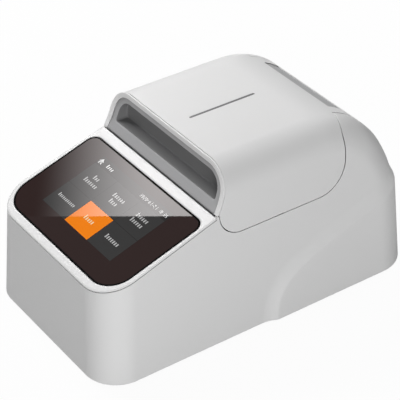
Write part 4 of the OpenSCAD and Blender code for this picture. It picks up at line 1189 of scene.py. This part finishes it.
FLOOR_HALF = 6.0
FLOOR_PAINT = 0.4
FLOOR_GLOW = 1.04
FLOOR_GLOW_SHARE = 0.92
WORLD_LIGHT = 0.12
AZIMUTH = math.radians(54.758)
ELEVATION = math.radians(35.116)
CAMERA_AIM = Vector((-0.00029, -0.0052, 0.0798))
CAMERA_DISTANCE = 1.4611
CAMERA_LENS = 149.31
CARD_GLOW = 10.0
CARD_DISTANCE = 1.6
CARD_ENDS = (-1.6, 2.2)
CARD_HEIGHT = 1.2
CARD_FADE = (-0.39, 0.76)
LAMPS = [("upper_left_lamp", (-1.4, -0.25, 1.6), (0, 0, 0.1), (1.0, 1.0), 37),
         ("rear_lamp", (-0.5, 1.7, 1.2), (0, 0, 0.1), (1.0, 1.0), 14),
         ("front_right_lamp", (1.75, -0.95, 0.45), (0, 0, 0.08), (1.0, 0.8), 28)]


def make_floor():
    """Pale floor that looks white to the camera and still takes a soft shadow."""
    half = FLOOR_HALF
    corners = [(-half, -half, 0), (half, -half, 0), (half, half, 0), (-half, half, 0)]
    mesh = bpy.data.meshes.new("studio_floor")
    mesh.from_pydata(corners, [], [(0, 1, 2, 3)])
    material = bpy.data.materials.new("studio_floor")
    material.use_nodes = True
    nodes, links = material.node_tree.nodes, material.node_tree.links
    nodes.remove(nodes["Principled BSDF"])
    paint = nodes.new("ShaderNodeBsdfDiffuse")
    paint.inputs["Color"].default_value = (FLOOR_PAINT, FLOOR_PAINT, FLOOR_PAINT, 1)
    glow = nodes.new("ShaderNodeEmission")
    glow.inputs["Color"].default_value = (1, 1, 1, 1)
    glow.inputs["Strength"].default_value = FLOOR_GLOW
    path = nodes.new("ShaderNodeLightPath")
    share = nodes.new("ShaderNodeMath")
    share.operation = "MULTIPLY"
    share.inputs[1].default_value = FLOOR_GLOW_SHARE
    mix = nodes.new("ShaderNodeMixShader")
    links.new(path.outputs["Is Camera Ray"], share.inputs[0])
    links.new(share.outputs[0], mix.inputs["Fac"])
    links.new(paint.outputs[0], mix.inputs[1])
    links.new(glow.outputs[0], mix.inputs[2])
    links.new(mix.outputs[0], nodes["Material Output"].inputs["Surface"])
    mesh.materials.append(material)
    floor = bpy.data.objects.new("studio_floor", mesh)
    bpy.context.scene.collection.objects.link(floor)


def make_world(strength):
    """White background for the camera, with its own strength as light and in reflections."""
    world = bpy.data.worlds.new("studio")
    bpy.context.scene.world = world
    world.use_nodes = True
    nodes, links = world.node_tree.nodes, world.node_tree.links
    light = nodes["Background"]
    light.inputs["Color"].default_value = (1, 1, 1, 1)
    light.inputs["Strength"].default_value = strength
    shown = nodes.new("ShaderNodeBackground")
    shown.inputs["Color"].default_value = (1, 1, 1, 1)
    shown.inputs["Strength"].default_value = 1.0
    path = nodes.new("ShaderNodeLightPath")
    seen = nodes.new("ShaderNodeMath")
    seen.operation = "MAXIMUM"
    mix = nodes.new("ShaderNodeMixShader")
    links.new(path.outputs["Is Camera Ray"], seen.inputs[0])
    links.new(path.outputs["Is Transmission Ray"], seen.inputs[1])
    links.new(seen.outputs[0], mix.inputs["Fac"])
    links.new(light.outputs[0], mix.inputs[1])
    links.new(shown.outputs[0], mix.inputs[2])
    links.new(mix.outputs[0], nodes["World Output"].inputs["Surface"])


def add_lamp(name, place, aim, size, power):
    """Soft lamp turned towards a point, which shows neither to the camera nor in reflections."""
    data = bpy.data.lights.new(name, "AREA")
    data.shape = "RECTANGLE"
    data.size, data.size_y = size
    data.energy = power
    lamp = bpy.data.objects.new(name, data)
    lamp.location = place
    lamp.rotation_euler = (Vector(aim) - Vector(place)).to_track_quat("-Z", "Y").to_euler()
    bpy.context.scene.collection.objects.link(lamp)
    lamp.visible_camera = False
    lamp.visible_glossy = False


def make_camera():
    """Camera at the photograph's angle, with its long lens on a square frame."""
    data = bpy.data.cameras.new("photo_camera")
    data.sensor_fit = "HORIZONTAL"
    data.sensor_width = 36.0
    data.lens = CAMERA_LENS
    data.clip_end = 50.0
    camera = bpy.data.objects.new("photo_camera", data)
    back = Vector((math.sin(AZIMUTH) * math.cos(ELEVATION), -math.cos(AZIMUTH) * math.cos(ELEVATION),
                   math.sin(ELEVATION)))
    camera.location = CAMERA_AIM + back * CAMERA_DISTANCE
    camera.rotation_euler = (-back).to_track_quat("-Z", "Y").to_euler()
    bpy.context.scene.collection.objects.link(camera)
    bpy.context.scene.camera = camera


def make_card():
    """Bright card seen only in reflections, whose lower edge crosses the glass as a level line in the
    picture. Its edge is found by mirroring the camera's rays in the glass at two points, and it fades towards
    one end."""
    eye = np.array(bpy.context.scene.camera.location)
    out = np.array([0.0, -CONSOLE_SIN, CONSOLE_COS])
    marks = to_frame(on_console(np.array([[-12.7, 38.1, SCREEN_OUT], [66.1, 104.5, SCREEN_OUT],
                                          [-60.0, 90.0, SCREEN_OUT]])))
    rays = marks - eye
    rays = rays / np.linalg.norm(rays, axis=1, keepdims=True)
    rays = rays - 2 * (rays @ out)[:, None] * out
    low, high, beyond = marks + CARD_DISTANCE * rays
    edge = high - low
    up = beyond - low
    up = up - edge * (up @ edge) / (edge @ edge)
    up = up / np.linalg.norm(up) * CARD_HEIGHT
    start, end = CARD_ENDS
    corners = np.stack([low + start * edge, low + end * edge, low + end * edge + up, low + start * edge + up])
    mesh = bpy.data.meshes.new("reflected_card")
    mesh.from_pydata(corners.tolist(), [], [(0, 1, 2, 3)])
    chart = mesh.uv_layers.new(name="along")
    chart.data.foreach_set("uv", [start, 0, end, 0, end, 1, start, 1])
    material = bpy.data.materials.new("reflected_card")
    material.use_nodes = True
    nodes, links = material.node_tree.nodes, material.node_tree.links
    nodes.remove(nodes["Principled BSDF"])
    glow = nodes.new("ShaderNodeEmission")
    glow.inputs["Color"].default_value = (1.0, 0.97, 0.965, 1)
    place = nodes.new("ShaderNodeUVMap")
    place.uv_map = "along"
    split = nodes.new("ShaderNodeSeparateXYZ")
    fade = nodes.new("ShaderNodeMapRange")
    fade.interpolation_type = "SMOOTHSTEP"
    fade.inputs["From Min"].default_value = CARD_FADE[0]
    fade.inputs["From Max"].default_value = CARD_FADE[1]
    fade.inputs["To Max"].default_value = CARD_GLOW
    links.new(place.outputs["UV"], split.inputs[0])
    links.new(split.outputs["X"], fade.inputs["Value"])
    links.new(fade.outputs["Result"], glow.inputs["Strength"])
    links.new(glow.outputs[0], nodes["Material Output"].inputs["Surface"])
    mesh.materials.append(material)
    card = bpy.data.objects.new("reflected_card", mesh)
    bpy.context.scene.collection.objects.link(card)
    card.visible_camera = False
    card.visible_diffuse = False
    card.visible_transmission = False
    card.visible_shadow = False


bpy.context.scene.view_settings.view_transform = "Standard"
make_floor()
make_world(WORLD_LIGHT)
make_camera()
make_card()
for lamp_values in LAMPS:
    add_lamp(*lamp_values)
